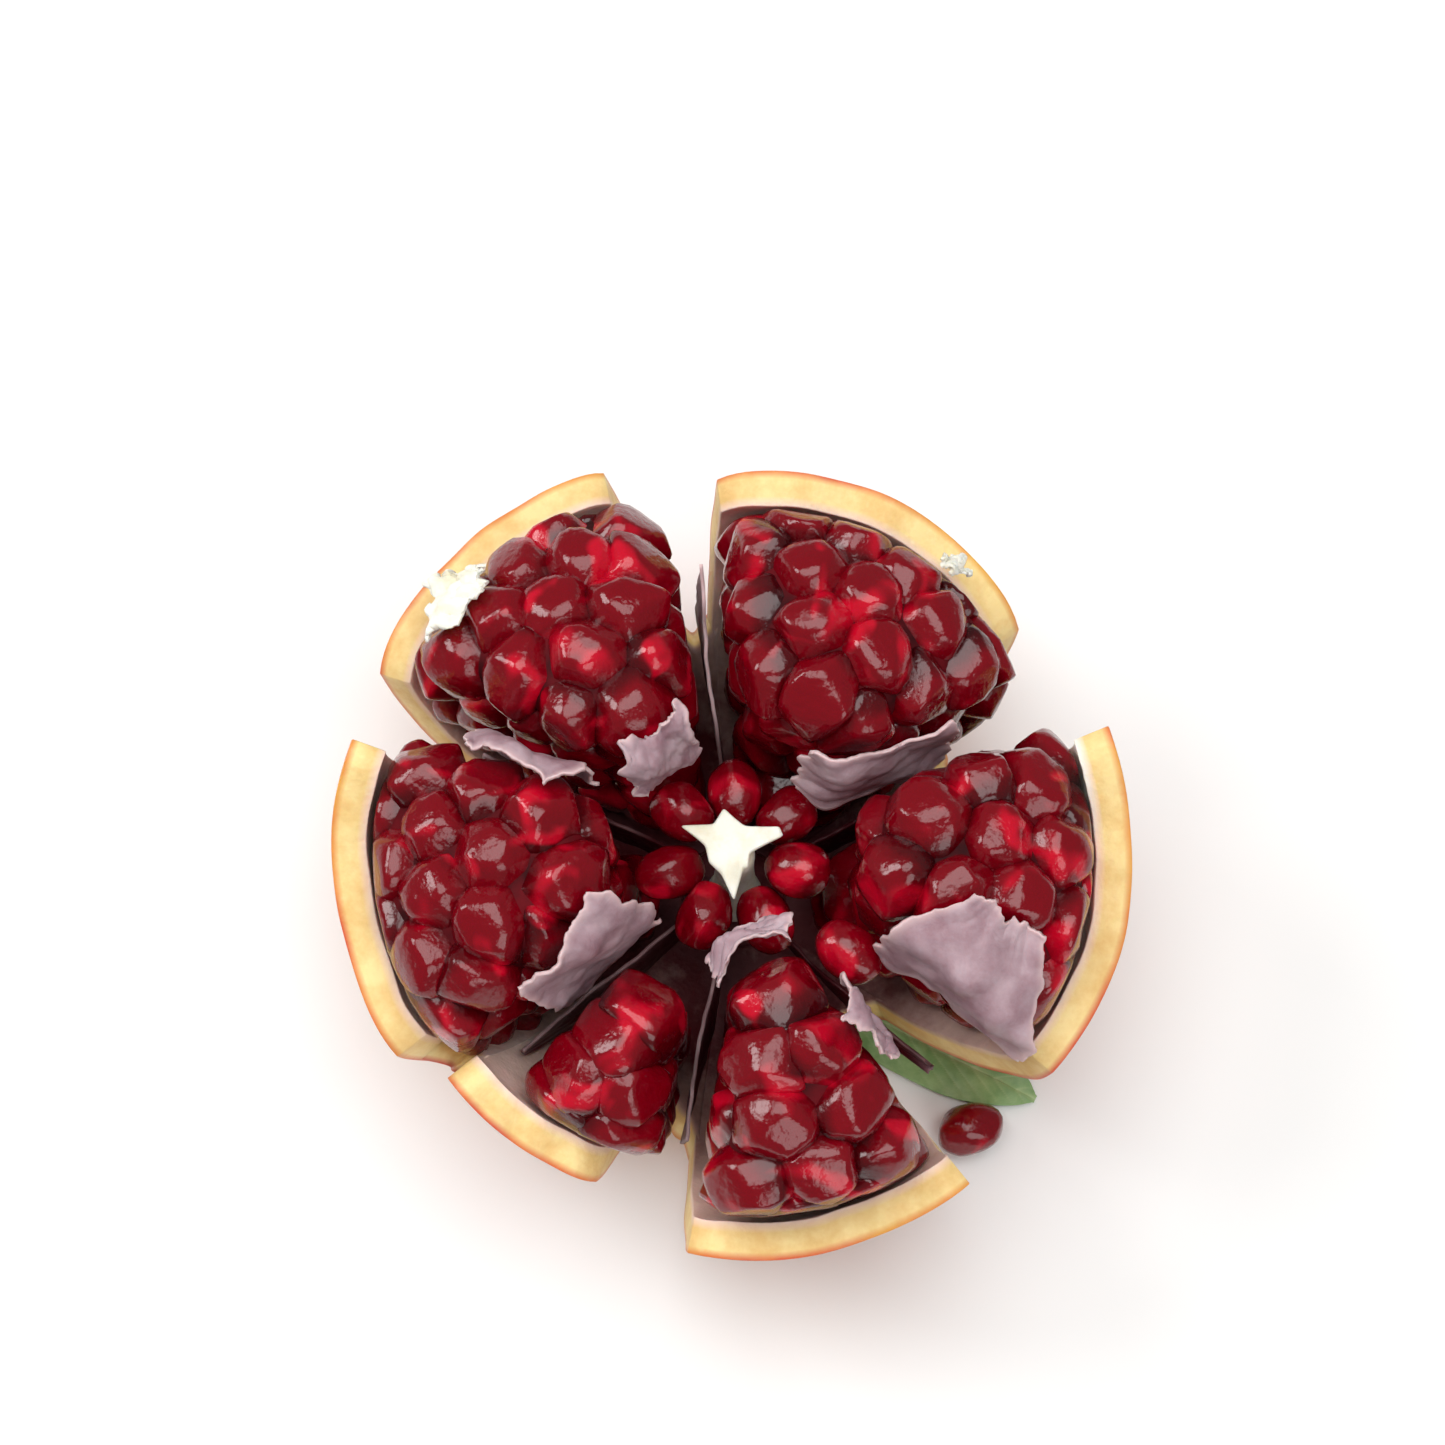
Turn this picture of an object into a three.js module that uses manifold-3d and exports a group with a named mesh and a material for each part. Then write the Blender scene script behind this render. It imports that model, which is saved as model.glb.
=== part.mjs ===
// An opened pomegranate, resting on its stem end.
// Millimetres, +Z up. The origin is the centre of the flat foot under the fruit.
// The top of the rind is cut away and the rest is scored into petals that lean outwards from the foot.
// Each petal carries one chamber of arils. Torn membranes, a white core and single arils fill the middle.
import * as THREE from "three";
import { mergeVertices } from "three/addons/utils/BufferGeometryUtils.js";
import Module from "manifold-3d";

const wasm = await Module();
wasm.setup();

// ---- Driving dimensions ----
const FRUIT_RADIUS = 46; // closed fruit, to the outside of the rind
const FRUIT_HALF_HEIGHT = 43; // half the closed fruit's height
const FOOT_SINK = 1.5; // how much of the round bottom is flattened away
const FOOT_EDGE = 24; // the foot's bowl reaches this polar angle, in degrees
const RIND_AT_RIM = 4.6; // rind wall, with its pith, at the cut rim
const RIND_AT_FOOT = 6.2; // and where the petals join the foot
const KERF = 1.2; // width taken out of the rind by each scoring cut
const HINGE_RADIUS = 11; // the petals lean about a ring of this radius
const HINGE_HEIGHT = 3;
const SEAT_GAP = 0.35; // clearance between pieces that sit against each other
const FACET_GAP = 0.5; // extra clearance for the flat facets of curved walls

const CHAMBER_TOP = 60; // top of a chamber of arils before its petal leans out
const CHAMBER_FLOOR = 9; // and its underside
const CHAMBER_DOME = 40; // radius of the dome on top of a chamber
const DOME_REACH = 24; // how far the dome's middle stands from the axis
const SEPTUM = 1.5; // from a chamber to the upright plane that parts it from the next one
const CORNER = 5; // rounding of a chamber's edges
const RIND_CONTACT = 3.5; // how far the outermost arils are squashed against the rind

const ARIL_SPACING = 9.4; // middle to middle, between neighbouring arils
const ARIL_RADIUS = 5.6; // an aril in a chamber, squashed against its neighbours
const ARIL_BEDDING = 5.2; // how deep the lump between the arils lies
const SINGLE_HALF_WIDTH = 4.3; // an aril that stands free
const SINGLE_HALF_LENGTH = 5.8;

const MEMBRANE = 0.8; // thickness of the torn membranes
const CORE_RADIUS = 3.2; // stem of the white core
const CORE_FOOT_RADIUS = 5.1; // where it spreads on the rind
const CORE_TOP = 38; // height of its star
const STAR_REACH = 7; // length of the star's arms from the axis
const STAR_THICKNESS = 1.6;
const RING = { count: 7, start: 193, height: 33, rise: 24 }; // the single arils around the core
const STEM_RADIUS = 2.8;
const STEM_LENGTH = 3.4;
const STEM_SIDES = 20;
// The leaf lies under the edge of the right petal. Its root is tucked in this far from where the petal's
// underside stands clear of the ground by headroom.
const LEAF = { length: 32, width: 14, thickness: 0.8, tuck: 9.6, headroom: 5, azimuth: -43, turn: -27 };
// The aril that stands between the right and lower petals.
const BETWEEN = { azimuth: -44, height: 41 };
// The aril that has dropped out, and how far it lies clear of the closed fruit's size.
const LOOSE = { clear: 3, azimuth: -45, turn: 25 };

// The petals, counter-clockwise from the right. All angles are in degrees.
// azimuth and width place the strip of rind, and lean is how far it tips outwards.
// rim gives the cut's polar angle, from the bottom, at the strip's clockwise end, middle and other end.
// chamber gives the azimuths of the two upright planes that its lump of arils lies between.
// drop lowers the top of a chamber that stands deeper than the rest, and seed varies how its arils lie.
const PETALS = [
  {
    name: "right", azimuth: -9, width: 64, lean: 13,
    rim: [98, 101, 116],
    chamber: [-37, 24],
    seed: 11,
  },
  {
    name: "upper_right", azimuth: 66, width: 64, lean: 11,
    rim: [95, 107, 106],
    chamber: [27, 96],
    seed: 23,
  },
  {
    name: "upper_left", azimuth: 130, width: 58, lean: 20,
    rim: [107, 104, 99],
    chamber: [99, 155],
    seed: 35,
  },
  {
    name: "left", azimuth: 188, width: 58, lean: 14,
    rim: [118, 104, 99],
    chamber: [158, 220],
    seed: 47,
  },
  {
    name: "lower_left", azimuth: 233, width: 32, lean: 7,
    rim: [96, 91, 86],
    chamber: [225, 259],
    seed: 59, drop: 9,
  },
  {
    name: "lower", azimuth: 284, width: 52, lean: 16,
    rim: [100, 99, 104],
    chamber: [262, 305],
    seed: 71,
  },
];

const rad = THREE.MathUtils.degToRad;
const vec = (x, y, z) => new THREE.Vector3(x, y, z);

// ---- Solids: three.js geometry to manifold-3d and back ----
function solidOf(geometry) {
  const bare = new THREE.BufferGeometry();
  bare.setAttribute("position", geometry.getAttribute("position"));
  if (geometry.index) bare.setIndex(geometry.index);
  const merged = mergeVertices(bare, 1e-3);
  return new wasm.Manifold(
    new wasm.Mesh({
      numProp: 3,
      vertProperties: new Float32Array(merged.attributes.position.array),
      triVerts: new Uint32Array(merged.index.array),
    }),
  );
}

function geometryOf(solid) {
  const mesh = solid.getMesh();
  const geometry = new THREE.BufferGeometry();
  geometry.setAttribute("position", new THREE.BufferAttribute(mesh.vertProperties, 3));
  geometry.setIndex(new THREE.BufferAttribute(mesh.triVerts, 1));
  geometry.computeVertexNormals();
  return geometry;
}

// A closed slab between two grids of points of the same size, front(i, j) and back(i, j).
function slab(columns, rows, front, back) {
  const points = [];
  const faces = [];
  const at = (side, i, j) => side * (columns + 1) * (rows + 1) + j * (columns + 1) + i;
  for (const side of [front, back])
    for (let j = 0; j <= rows; j++)
      for (let i = 0; i <= columns; i++)
        points.push(...side(i, j).toArray());
  const quad = (a, b, c, d) => faces.push(a, b, c, a, c, d);
  for (let j = 0; j < rows; j++)
    for (let i = 0; i < columns; i++) {
      quad(at(0, i, j), at(0, i + 1, j), at(0, i + 1, j + 1), at(0, i, j + 1));
      quad(at(1, i, j), at(1, i, j + 1), at(1, i + 1, j + 1), at(1, i + 1, j));
    }
  for (let i = 0; i < columns; i++) {
    quad(at(0, i, 0), at(1, i, 0), at(1, i + 1, 0), at(0, i + 1, 0));
    quad(at(0, i, rows), at(0, i + 1, rows), at(1, i + 1, rows), at(1, i, rows));
  }
  for (let j = 0; j < rows; j++) {
    quad(at(0, 0, j), at(0, 0, j + 1), at(1, 0, j + 1), at(1, 0, j));
    quad(at(0, columns, j), at(1, columns, j), at(1, columns, j + 1), at(0, columns, j + 1));
  }
  const geometry = new THREE.BufferGeometry();
  geometry.setAttribute("position", new THREE.Float32BufferAttribute(points, 3));
  geometry.setIndex(faces);
  return geometry;
}

// Carries a petal's own frame, where the fruit is closed and the petal faces +X, to where the petal lies.
function petalMatrix(petal) {
  return new THREE.Matrix4()
    .makeRotationZ(rad(petal.azimuth))
    .multiply(new THREE.Matrix4().makeTranslation(HINGE_RADIUS, 0, HINGE_HEIGHT))
    .multiply(new THREE.Matrix4().makeRotationY(rad(petal.lean)))
    .multiply(new THREE.Matrix4().makeTranslation(-HINGE_RADIUS, 0, -HINGE_HEIGHT));
}

// ---- Rind ----
const FRUIT_CENTRE = FRUIT_HALF_HEIGHT - FOOT_SINK;
const FOOT_ANGLE = 10; // the petals start this far round from the bottom, inside the foot

// A point of the fruit's skin, moved inwards by depth. polar is measured from the bottom.
function skinPoint(azimuth, polar, depth) {
  const radius = FRUIT_RADIUS - depth;
  const half = FRUIT_HALF_HEIGHT - depth;
  return vec(
    radius * Math.sin(polar) * Math.cos(azimuth),
    radius * Math.sin(polar) * Math.sin(azimuth),
    FRUIT_CENTRE - half * Math.cos(polar),
  );
}

// The rind's thickness at a polar angle: it thins from the foot to the rim.
function rindThickness(polar) {
  const up = THREE.MathUtils.clamp((polar - rad(FOOT_ANGLE)) / (Math.PI / 2 - rad(FOOT_ANGLE)), 0, 1);
  return RIND_AT_FOOT + (RIND_AT_RIM - RIND_AT_FOOT) * up;
}

function rimAngle(petal, share) {
  const [start, middle, end] = petal.rim;
  const s = 2 * share - 1;
  return middle + ((end - start) / 2) * s + ((start + end) / 2 - middle) * s * s;
}

function petalWall(petal) {
  const columns = 6;
  const rows = 8;
  const half = rad(petal.width / 2) - KERF / 2 / FRUIT_RADIUS;
  const wall = (depthShare) => (i, j) => {
    const across = i / columns;
    const up = j / rows;
    const polar = rad(FOOT_ANGLE + (rimAngle(petal, across) - FOOT_ANGLE) * up);
    return skinPoint(half * (2 * across - 1), polar, rindThickness(polar) * depthShare);
  };
  return slab(columns, rows, wall(0), wall(1)).applyMatrix4(petalMatrix(petal));
}

function makeRind() {
  const footEdge = rad(FOOT_EDGE);
  const profile = [new THREE.Vector2(0, -FOOT_SINK)];
  for (let k = 1; k <= 3; k++) {
    const p = skinPoint(0, (footEdge * k) / 3, 0);
    profile.push(new THREE.Vector2(p.x, p.z));
  }
  profile.push(new THREE.Vector2(FRUIT_RADIUS * Math.sin(footEdge), RIND_AT_FOOT - 0.5));
  profile.push(new THREE.Vector2(0, RIND_AT_FOOT));
  const bowl = new THREE.LatheGeometry(profile, 36).rotateX(Math.PI / 2);
  let rind = solidOf(bowl);
  for (const petal of PETALS) rind = rind.add(solidOf(petalWall(petal)));
  const ground = new THREE.BoxGeometry(200, 200, 20).translate(0, 0, -10);
  const pocketRadius = STEM_RADIUS + SEAT_GAP;
  const pocket = new THREE.CylinderGeometry(pocketRadius, pocketRadius, 2 * STEM_LENGTH, STEM_SIDES);
  pocket.rotateX(Math.PI / 2);
  return rind.subtract(solidOf(ground)).subtract(solidOf(pocket));
}

// ---- Chambers of arils ----
// A repeatable stream of numbers from 0 to 1.
function stream(seed) {
  let state = seed;
  return () => {
    state = (state * 16807) % 2147483647;
    return state / 2147483647;
  };
}

// The well in the middle of the fruit holds the core with one ring of single arils around it.
// Its wall is upright beside the ring and narrows below it.
const WELL_RADIUS = CORE_RADIUS + 2 * SINGLE_HALF_LENGTH + 2 * SEAT_GAP;
const WELL_FLOOR_RADIUS = CORE_FOOT_RADIUS + SEAT_GAP;
const RING_FOOT = RING.height - SINGLE_HALF_LENGTH;

function wellRadius(height) {
  return Math.max(WELL_FLOOR_RADIUS, WELL_RADIUS - Math.max(0, RING_FOOT - height));
}

// How far a point in a petal's own frame is outside each wall of its chamber.
function chamberWalls(petal, p) {
  const world = p.clone().applyMatrix4(petal.matrix);
  const [start, end] = petal.chamber.map(rad);
  const rindRadius = FRUIT_RADIUS - RIND_AT_RIM + RIND_CONTACT;
  const rise = ((p.z - FRUIT_CENTRE) * FRUIT_RADIUS) / FRUIT_HALF_HEIGHT;
  const top = CHAMBER_TOP - (petal.drop ?? 0);
  return {
    start: world.x * Math.sin(start) - world.y * Math.cos(start) + SEPTUM,
    end: -world.x * Math.sin(end) + world.y * Math.cos(end) + SEPTUM,
    well: wellRadius(world.z) - Math.hypot(world.x, world.y),
    top: Math.hypot(p.x - DOME_REACH, p.y, p.z - (top - CHAMBER_DOME)) - CHAMBER_DOME,
    floor: CHAMBER_FLOOR - p.z,
    rind: Math.hypot(p.x, p.y, rise) - rindRadius,
  };
}

// How far a point is outside the chamber, with its edges rounded.
function outside(petal, p) {
  const walls = Object.values(chamberWalls(petal, p));
  const furthest = Math.max(...walls);
  const blend = CORNER / 3;
  return furthest + blend * Math.log(walls.reduce((sum, w) => sum + Math.exp((w - furthest) / blend), 0));
}

function outward(petal, p) {
  const e = 0.05;
  return vec(
    outside(petal, vec(p.x + e, p.y, p.z)) - outside(petal, vec(p.x - e, p.y, p.z)),
    outside(petal, vec(p.x, p.y + e, p.z)) - outside(petal, vec(p.x, p.y - e, p.z)),
    outside(petal, vec(p.x, p.y, p.z + e)) - outside(petal, vec(p.x, p.y, p.z - e)),
  ).normalize();
}

// Moves a point along the surface's normal to where it lies a given depth inside the chamber.
function settle(petal, p, depth) {
  for (let k = 0; k < 3; k++) p.addScaledVector(outward(petal, p), -(outside(petal, p) + depth));
}

// The point furthest inside a chamber, in the petal's own frame.
function chamberHeart(petal) {
  const heart = vec(0, 0, 0);
  const swing = rad((petal.chamber[0] + petal.chamber[1]) / 2 - petal.azimuth);
  for (let r = 14; r < FRUIT_RADIUS - RIND_AT_RIM; r += 1)
    for (let z = CHAMBER_FLOOR; z < CHAMBER_TOP; z += 2) {
      const p = vec(r * Math.cos(swing), r * Math.sin(swing), z);
      if (outside(petal, p) < outside(petal, heart)) heart.copy(p);
    }
  return heart;
}

// How deep the middles of a chamber's arils lie: less in a chamber that is too narrow for two rows.
function arilDepth(petal) {
  return Math.min(ARIL_RADIUS, -0.8 * outside(petal, petal.heart));
}

// The distance along a ray to where a measure that grows outwards reaches 0.
function reachUntil(start, direction, measure) {
  let near = 0;
  let far = 2 * FRUIT_RADIUS;
  for (let step = 0; step < 22; step++) {
    const reach = (near + far) / 2;
    if (measure(start.clone().addScaledVector(direction, reach)) < 0) near = reach;
    else far = reach;
  }
  return near;
}

// A closed ball whose point in each direction is given by a function.
function roundedBall(detail, pointAlong) {
  const facets = new THREE.IcosahedronGeometry(1, detail);
  const ball = mergeVertices(facets.deleteAttribute("uv").deleteAttribute("normal"));
  const position = ball.getAttribute("position");
  for (let k = 0; k < position.count; k++) {
    const p = pointAlong(new THREE.Vector3().fromBufferAttribute(position, k).normalize());
    position.setXYZ(k, p.x, p.y, p.z);
  }
  return ball;
}

// Middles of the arils that line a chamber, pushed apart until they lie evenly.
function arilMiddles(petal) {
  const random = stream(petal.seed);
  const bedding = arilDepth(petal);
  const onBed = (direction) => {
    const reach = reachUntil(petal.heart, direction, (p) => outside(petal, p) + bedding);
    return petal.heart.clone().addScaledVector(direction, reach);
  };
  const area = solidOf(roundedBall(4, onBed)).surfaceArea();
  const count = Math.round(area / (0.866 * ARIL_SPACING ** 2));
  const middles = [];
  for (let k = 0; k < count; k++) {
    const direction = vec(random() - 0.5, random() - 0.5, random() - 0.5).normalize();
    middles.push(onBed(direction));
  }
  const neighbourly = ARIL_SPACING * 1.15;
  const rounds = 70;
  for (let round = 0; round < rounds; round++) {
    const pushes = middles.map((p) => {
      const push = vec(0, 0, 0);
      for (const q of middles) {
        const gap = p.distanceTo(q);
        const strength = (0.35 * (neighbourly - gap)) / (gap + 0.1);
        if (q !== p && gap < neighbourly) push.addScaledVector(p.clone().sub(q), strength);
      }
      return push;
    });
    middles.forEach((p, k) => {
      p.add(pushes[k]);
      settle(petal, p, bedding);
    });
  }
  return middles.filter((p) => {
    const walls = chamberWalls(petal, p);
    return walls.rind < Math.max(walls.start, walls.end, walls.well, walls.top) + 3;
  });
}

// How far a point in a petal's own frame is past the inside of its rind, less the clearance.
function beyondRind(p) {
  const round = Math.hypot(p.x, p.y);
  const polar = Math.atan2(round / FRUIT_RADIUS, (FRUIT_CENTRE - p.z) / FRUIT_HALF_HEIGHT);
  const depth = rindThickness(polar) + SEAT_GAP + FACET_GAP;
  const rise = ((p.z - FRUIT_CENTRE) * (FRUIT_RADIUS - depth)) / (FRUIT_HALF_HEIGHT - depth);
  return Math.hypot(round, rise) - (FRUIT_RADIUS - depth);
}

// The far side of an aril along a ray from the heart, or 0 where the ray misses it.
function reachOfAril(heart, direction, middle) {
  const toMiddle = middle.clone().sub(heart);
  const along = toMiddle.dot(direction);
  const missSquared = toMiddle.lengthSq() - along * along;
  return missSquared > ARIL_RADIUS ** 2 ? 0 : along + Math.sqrt(ARIL_RADIUS ** 2 - missSquared);
}

// A chamber's lump of arils as one surface: along each ray from its heart, the furthest aril.
function makeChamber(petal) {
  const middles = arilMiddles(petal);
  const bedding = arilDepth(petal) * (ARIL_BEDDING / ARIL_RADIUS);
  return roundedBall(6, (direction) => {
    const reach = Math.max(
      reachUntil(petal.heart, direction, (p) => outside(petal, p) + bedding),
      ...middles.map((middle) => reachOfAril(petal.heart, direction, middle)),
    );
    const limit = reachUntil(petal.heart, direction, beyondRind);
    return petal.heart.clone().addScaledVector(direction, Math.min(reach, limit));
  });
}

// ---- Core ----
function makeCore() {
  const footTop = RIND_AT_FOOT + SEAT_GAP;
  const profile = [
    new THREE.Vector2(0, footTop),
    new THREE.Vector2(CORE_FOOT_RADIUS, footTop),
    new THREE.Vector2(CORE_RADIUS, footTop + 5),
    new THREE.Vector2(CORE_RADIUS * 0.8, CORE_TOP - 6),
    new THREE.Vector2(CORE_RADIUS, CORE_TOP - 1.5),
    new THREE.Vector2(0, CORE_TOP - 1),
  ];
  const column = new THREE.LatheGeometry(profile, 12).rotateX(Math.PI / 2);
  const star = new THREE.Shape();
  const arms = 5;
  for (let k = 0; k < 2 * arms; k++) {
    const reach = k % 2 === 0 ? STAR_REACH * (1 - 0.12 * (k % 4)) : STAR_REACH * 0.42;
    const angle = rad(20 + (180 / arms) * k);
    const point = [reach * Math.cos(angle), reach * Math.sin(angle)];
    if (k === 0) star.moveTo(...point);
    else star.lineTo(...point);
  }
  star.closePath();
  const top = new THREE.ExtrudeGeometry(star, { depth: STAR_THICKNESS, bevelEnabled: false });
  top.translate(0, 0, CORE_TOP - STAR_THICKNESS);
  return solidOf(column).add(solidOf(top));
}

// ---- Single arils ----
// A drop with its tip towards the core.
function singleAril() {
  return roundedBall(1, ({ x, y, z }) => {
    const girth = SINGLE_HALF_WIDTH * (0.86 + 0.14 * x);
    return vec(x * SINGLE_HALF_LENGTH, y * girth, z * girth);
  });
}

// How far a point in the world is from the nearest single aril, less the clearance for flat facets.
function roomFromSingles(world) {
  const gaps = singles.map((single) => {
    const q = world.clone().applyMatrix4(single.matrixWorld.clone().invert());
    const scaled = vec(q.x / SINGLE_HALF_LENGTH, q.y / SINGLE_HALF_WIDTH, q.z / SINGLE_HALF_WIDTH);
    return (scaled.length() - 1) * SINGLE_HALF_WIDTH - FACET_GAP;
  });
  return Math.min(...gaps);
}

// ---- Torn membranes ----
// A sheet that lies over part of a chamber. Directions are seen from the chamber's heart: swing is the
// azimuth and rise the angle above the level, each as [middle, half]. lift is how far the sheet stands
// off the arils at its lower and its upper edge.
function membraneOver(petal, { swing, rise, lift, seed }) {
  const columns = 8;
  const rows = 5;
  const random = stream(seed);
  const ragged = Array.from({ length: columns + 1 }, () => 0.72 + 0.28 * random());
  const side = (extra) => (i, j) => {
    const s = (2 * i) / columns - 1;
    const t = (2 * j) / rows - 1;
    const angle = rad(swing[0] + swing[1] * s) - rad(petal.azimuth);
    const climb = rad(rise[0] + rise[1] * (t > 0 ? t * ragged[i] : t));
    const direction = vec(Math.cos(angle), Math.sin(angle), Math.tan(climb)).normalize();
    const stand = lift[0] + ((lift[1] - lift[0]) * (t + 1)) / 2 + 0.35 * Math.sin(4 * s + 3 * t + seed);
    const reach = reachUntil(petal.heart, direction, (p) =>
      Math.max(outside(petal, p) - stand - extra, SEAT_GAP + MEMBRANE - extra - roomAround(petal, p)),
    );
    return petal.heart.clone().addScaledVector(direction, reach);
  };
  return slab(columns, rows, side(MEMBRANE), side(0));
}

// How far a point in a petal's own frame is from the other chambers and the single arils.
function roomAround(petal, p) {
  const world = p.clone().applyMatrix4(petal.matrix);
  const others = PETALS.filter((other) => other !== petal);
  const gaps = others.map((other) => outside(other, world.clone().applyMatrix4(other.inverse)));
  return Math.min(roomFromSingles(world), ...gaps);
}

// How high a wall can stand at a radius and azimuth: as high as wanted, or lower to pass under an aril.
function heightUnderSingles(radius, azimuth, wanted) {
  const point = vec(radius * Math.cos(rad(azimuth)), radius * Math.sin(rad(azimuth)), wanted);
  while (roomFromSingles(point) < SEAT_GAP + MEMBRANE / 2) point.z -= 0.5;
  return point.z;
}

// What is left of a wall between two chambers: an upright sheet along their shared plane. heights is how
// high it stands at the core and at the rind.
function septum({ heights, seed }, azimuth) {
  const columns = 8;
  const rows = 4;
  const random = stream(seed);
  const ragged = Array.from({ length: columns + 1 }, () => 0.9 + 0.1 * random());
  const inner = CORE_FOOT_RADIUS + SEAT_GAP;
  const outer = FRUIT_RADIUS - RIND_AT_FOOT;
  const foot = RIND_AT_FOOT + 2;
  const reach = (i) => inner + ((outer - inner) * i) / columns;
  const tops = ragged.map((share, i) => {
    const wanted = (heights[0] + ((heights[1] - heights[0]) * i) / columns) * share;
    return heightUnderSingles(reach(i), azimuth, wanted);
  });
  const side = (extra) => (i, j) => {
    const along = i / columns;
    const up = j / rows;
    const radius = reach(i);
    const low = foot + 16 * along ** 2;
    const top = tops[i];
    const wave = 0.5 * Math.sin(5 * along + 2 * up + seed);
    return vec(radius, wave + extra, low + (top - low) * up);
  };
  return slab(columns, rows, side(-MEMBRANE / 2), side(MEMBRANE / 2));
}

// ---- Leaf ----
function makeLeaf() {
  const columns = 10;
  const rows = 6;
  const side = (extra) => (i, j) => {
    const along = i / columns;
    const across = (2 * j) / rows - 1;
    const width = Math.max(0.08, Math.sin(Math.PI * Math.min(1, 0.04 + 0.96 * along) ** 0.85) ** 0.8);
    const y = (LEAF.width / 2) * width * across;
    const arch = 1.4 * Math.sin(Math.PI * along);
    const fold = 0.9 * Math.abs(across) * width;
    const ripple = 0.3 * Math.sin(9 * along);
    return vec(LEAF.length * along, y, SEAT_GAP + arch + fold + ripple + extra);
  };
  return slab(columns, rows, side(LEAF.thickness), side(0));
}

// ---- The scene graph ----
const finish = (color, roughness) => new THREE.MeshStandardMaterial({ color, roughness, metalness: 0 });
const MATERIALS = {
  rind: finish("#e0b45c", 0.55),
  aril: finish("#7d0712", 0.12),
  membrane: finish("#cdb9b8", 0.6),
  core: finish("#ece6d2", 0.6),
  leaf: finish("#6f9a55", 0.45),
  stem: finish("#7a6a42", 0.8),
};

const fruit = new THREE.Group();
function addPiece(parent, name, geometry, material) {
  const mesh = new THREE.Mesh(geometry, material);
  mesh.name = name;
  parent.add(mesh);
  return mesh;
}

// Stands a piece at a radius and azimuth about the fruit's axis.
function placeRound(piece, radius, azimuth, height) {
  piece.position.set(radius * Math.cos(rad(azimuth)), radius * Math.sin(rad(azimuth)), height);
}

addPiece(fruit, "rind", geometryOf(makeRind()), MATERIALS.rind);
for (const petal of PETALS) {
  petal.matrix = petalMatrix(petal);
  petal.inverse = petal.matrix.clone().invert();
  petal.heart = chamberHeart(petal);
  petal.group = new THREE.Group();
  petal.group.applyMatrix4(petal.matrix);
  fruit.add(petal.group);
  addPiece(petal.group, "arils_" + petal.name, makeChamber(petal), MATERIALS.aril);
}
addPiece(fruit, "core", geometryOf(makeCore()), MATERIALS.core);

const singles = [];
for (let k = 0; k < RING.count; k++) {
  const ring = new THREE.Group();
  ring.rotation.z = rad(RING.start + (360 / RING.count) * k);
  fruit.add(ring);
  const piece = addPiece(ring, "aril_by_core_" + (k + 1), singleAril(), MATERIALS.aril);
  const lift = 2 * Math.sin(2.4 * k);
  piece.position.set(CORE_RADIUS + SINGLE_HALF_LENGTH + SEAT_GAP, 0, RING.height + lift);
  piece.rotation.y = -rad(RING.rise);
  ring.updateMatrixWorld(true);
  singles.push(piece);
}

const between = addPiece(fruit, "aril_between_right_and_lower", singleAril(), MATERIALS.aril);
placeRound(between, WELL_RADIUS + SINGLE_HALF_LENGTH, BETWEEN.azimuth, BETWEEN.height);
between.rotation.z = rad(BETWEEN.azimuth);
between.updateMatrixWorld(true);
singles.push(between);

const MEMBRANES = [
  {
    name: "membrane_left_above", petal: "left",
    swing: [58, 27], rise: [24, 22], lift: [2.0, 0.7], seed: 5,
  },
  {
    name: "membrane_left_below", petal: "left",
    swing: [330, 22], rise: [17, 22], lift: [4, 0.7], seed: 6,
  },
  {
    name: "membrane_right_below", petal: "right",
    swing: [241, 34], rise: [40, 27], lift: [1.6, 1.0], seed: 7,
  },
  {
    name: "membrane_upper_right", petal: "upper_right",
    swing: [280, 30], rise: [12, 18], lift: [4, 0.8], seed: 8,
  },
  {
    name: "membrane_upper_left", petal: "upper_left",
    swing: [308, 12], rise: [8, 14], lift: [2.4, 0.8], seed: 9,
  },
  {
    name: "membrane_lower_above", petal: "lower",
    swing: [72, 18], rise: [24, 16], lift: [2, 0.7], seed: 10,
  },
  {
    name: "membrane_lower_tip", petal: "lower",
    swing: [122, 14], rise: [10, 9], lift: [2, 0.7], seed: 12,
  },
  {
    name: "pith_scrap", petal: "upper_left",
    swing: [176, 26], rise: [64, 10], lift: [0.8, 1.2], seed: 13,
  },
  {
    name: "pith_chip", petal: "upper_right",
    swing: [17, 7], rise: [52, 6], lift: [0.5, 0.7], seed: 14,
  },
];
for (const sheet of MEMBRANES) {
  const petal = PETALS.find((p) => p.name === sheet.petal);
  addPiece(petal.group, sheet.name, membraneOver(petal, sheet), MATERIALS.membrane);
}

// One for each petal in order, on the plane at its counter-clockwise side.
const SEPTA = [
  { name: "septum_right", heights: [24, 36], seed: 2 },
  { name: "septum_upper_middle", heights: [26, 52], seed: 3 },
  { name: "septum_upper_left", heights: [24, 36], seed: 4 },
  { name: "septum_left", heights: [22, 40], seed: 5 },
  { name: "septum_lower_left", heights: [22, 44], seed: 6 },
  { name: "septum_lower_right", heights: [22, 26], seed: 7 },
];
SEPTA.forEach((wall, k) => {
  const turn = k === PETALS.length - 1 ? 360 : 0;
  const next = PETALS[(k + 1) % PETALS.length].chamber[0] + turn;
  const azimuth = (PETALS[k].chamber[1] + next) / 2;
  const piece = addPiece(fruit, wall.name, septum(wall, azimuth), MATERIALS.membrane);
  piece.rotation.z = rad(azimuth);
});

// How far from the axis the underside of a petal first stands a given height above the ground.
function clearRadius(petal, height) {
  const skin = (polar) => skinPoint(0, polar, 0).applyMatrix4(petal.matrix);
  let polar = rad(FOOT_ANGLE);
  while (skin(polar).z < height) polar += 0.002;
  return Math.hypot(skin(polar).x, skin(polar).y);
}

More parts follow.
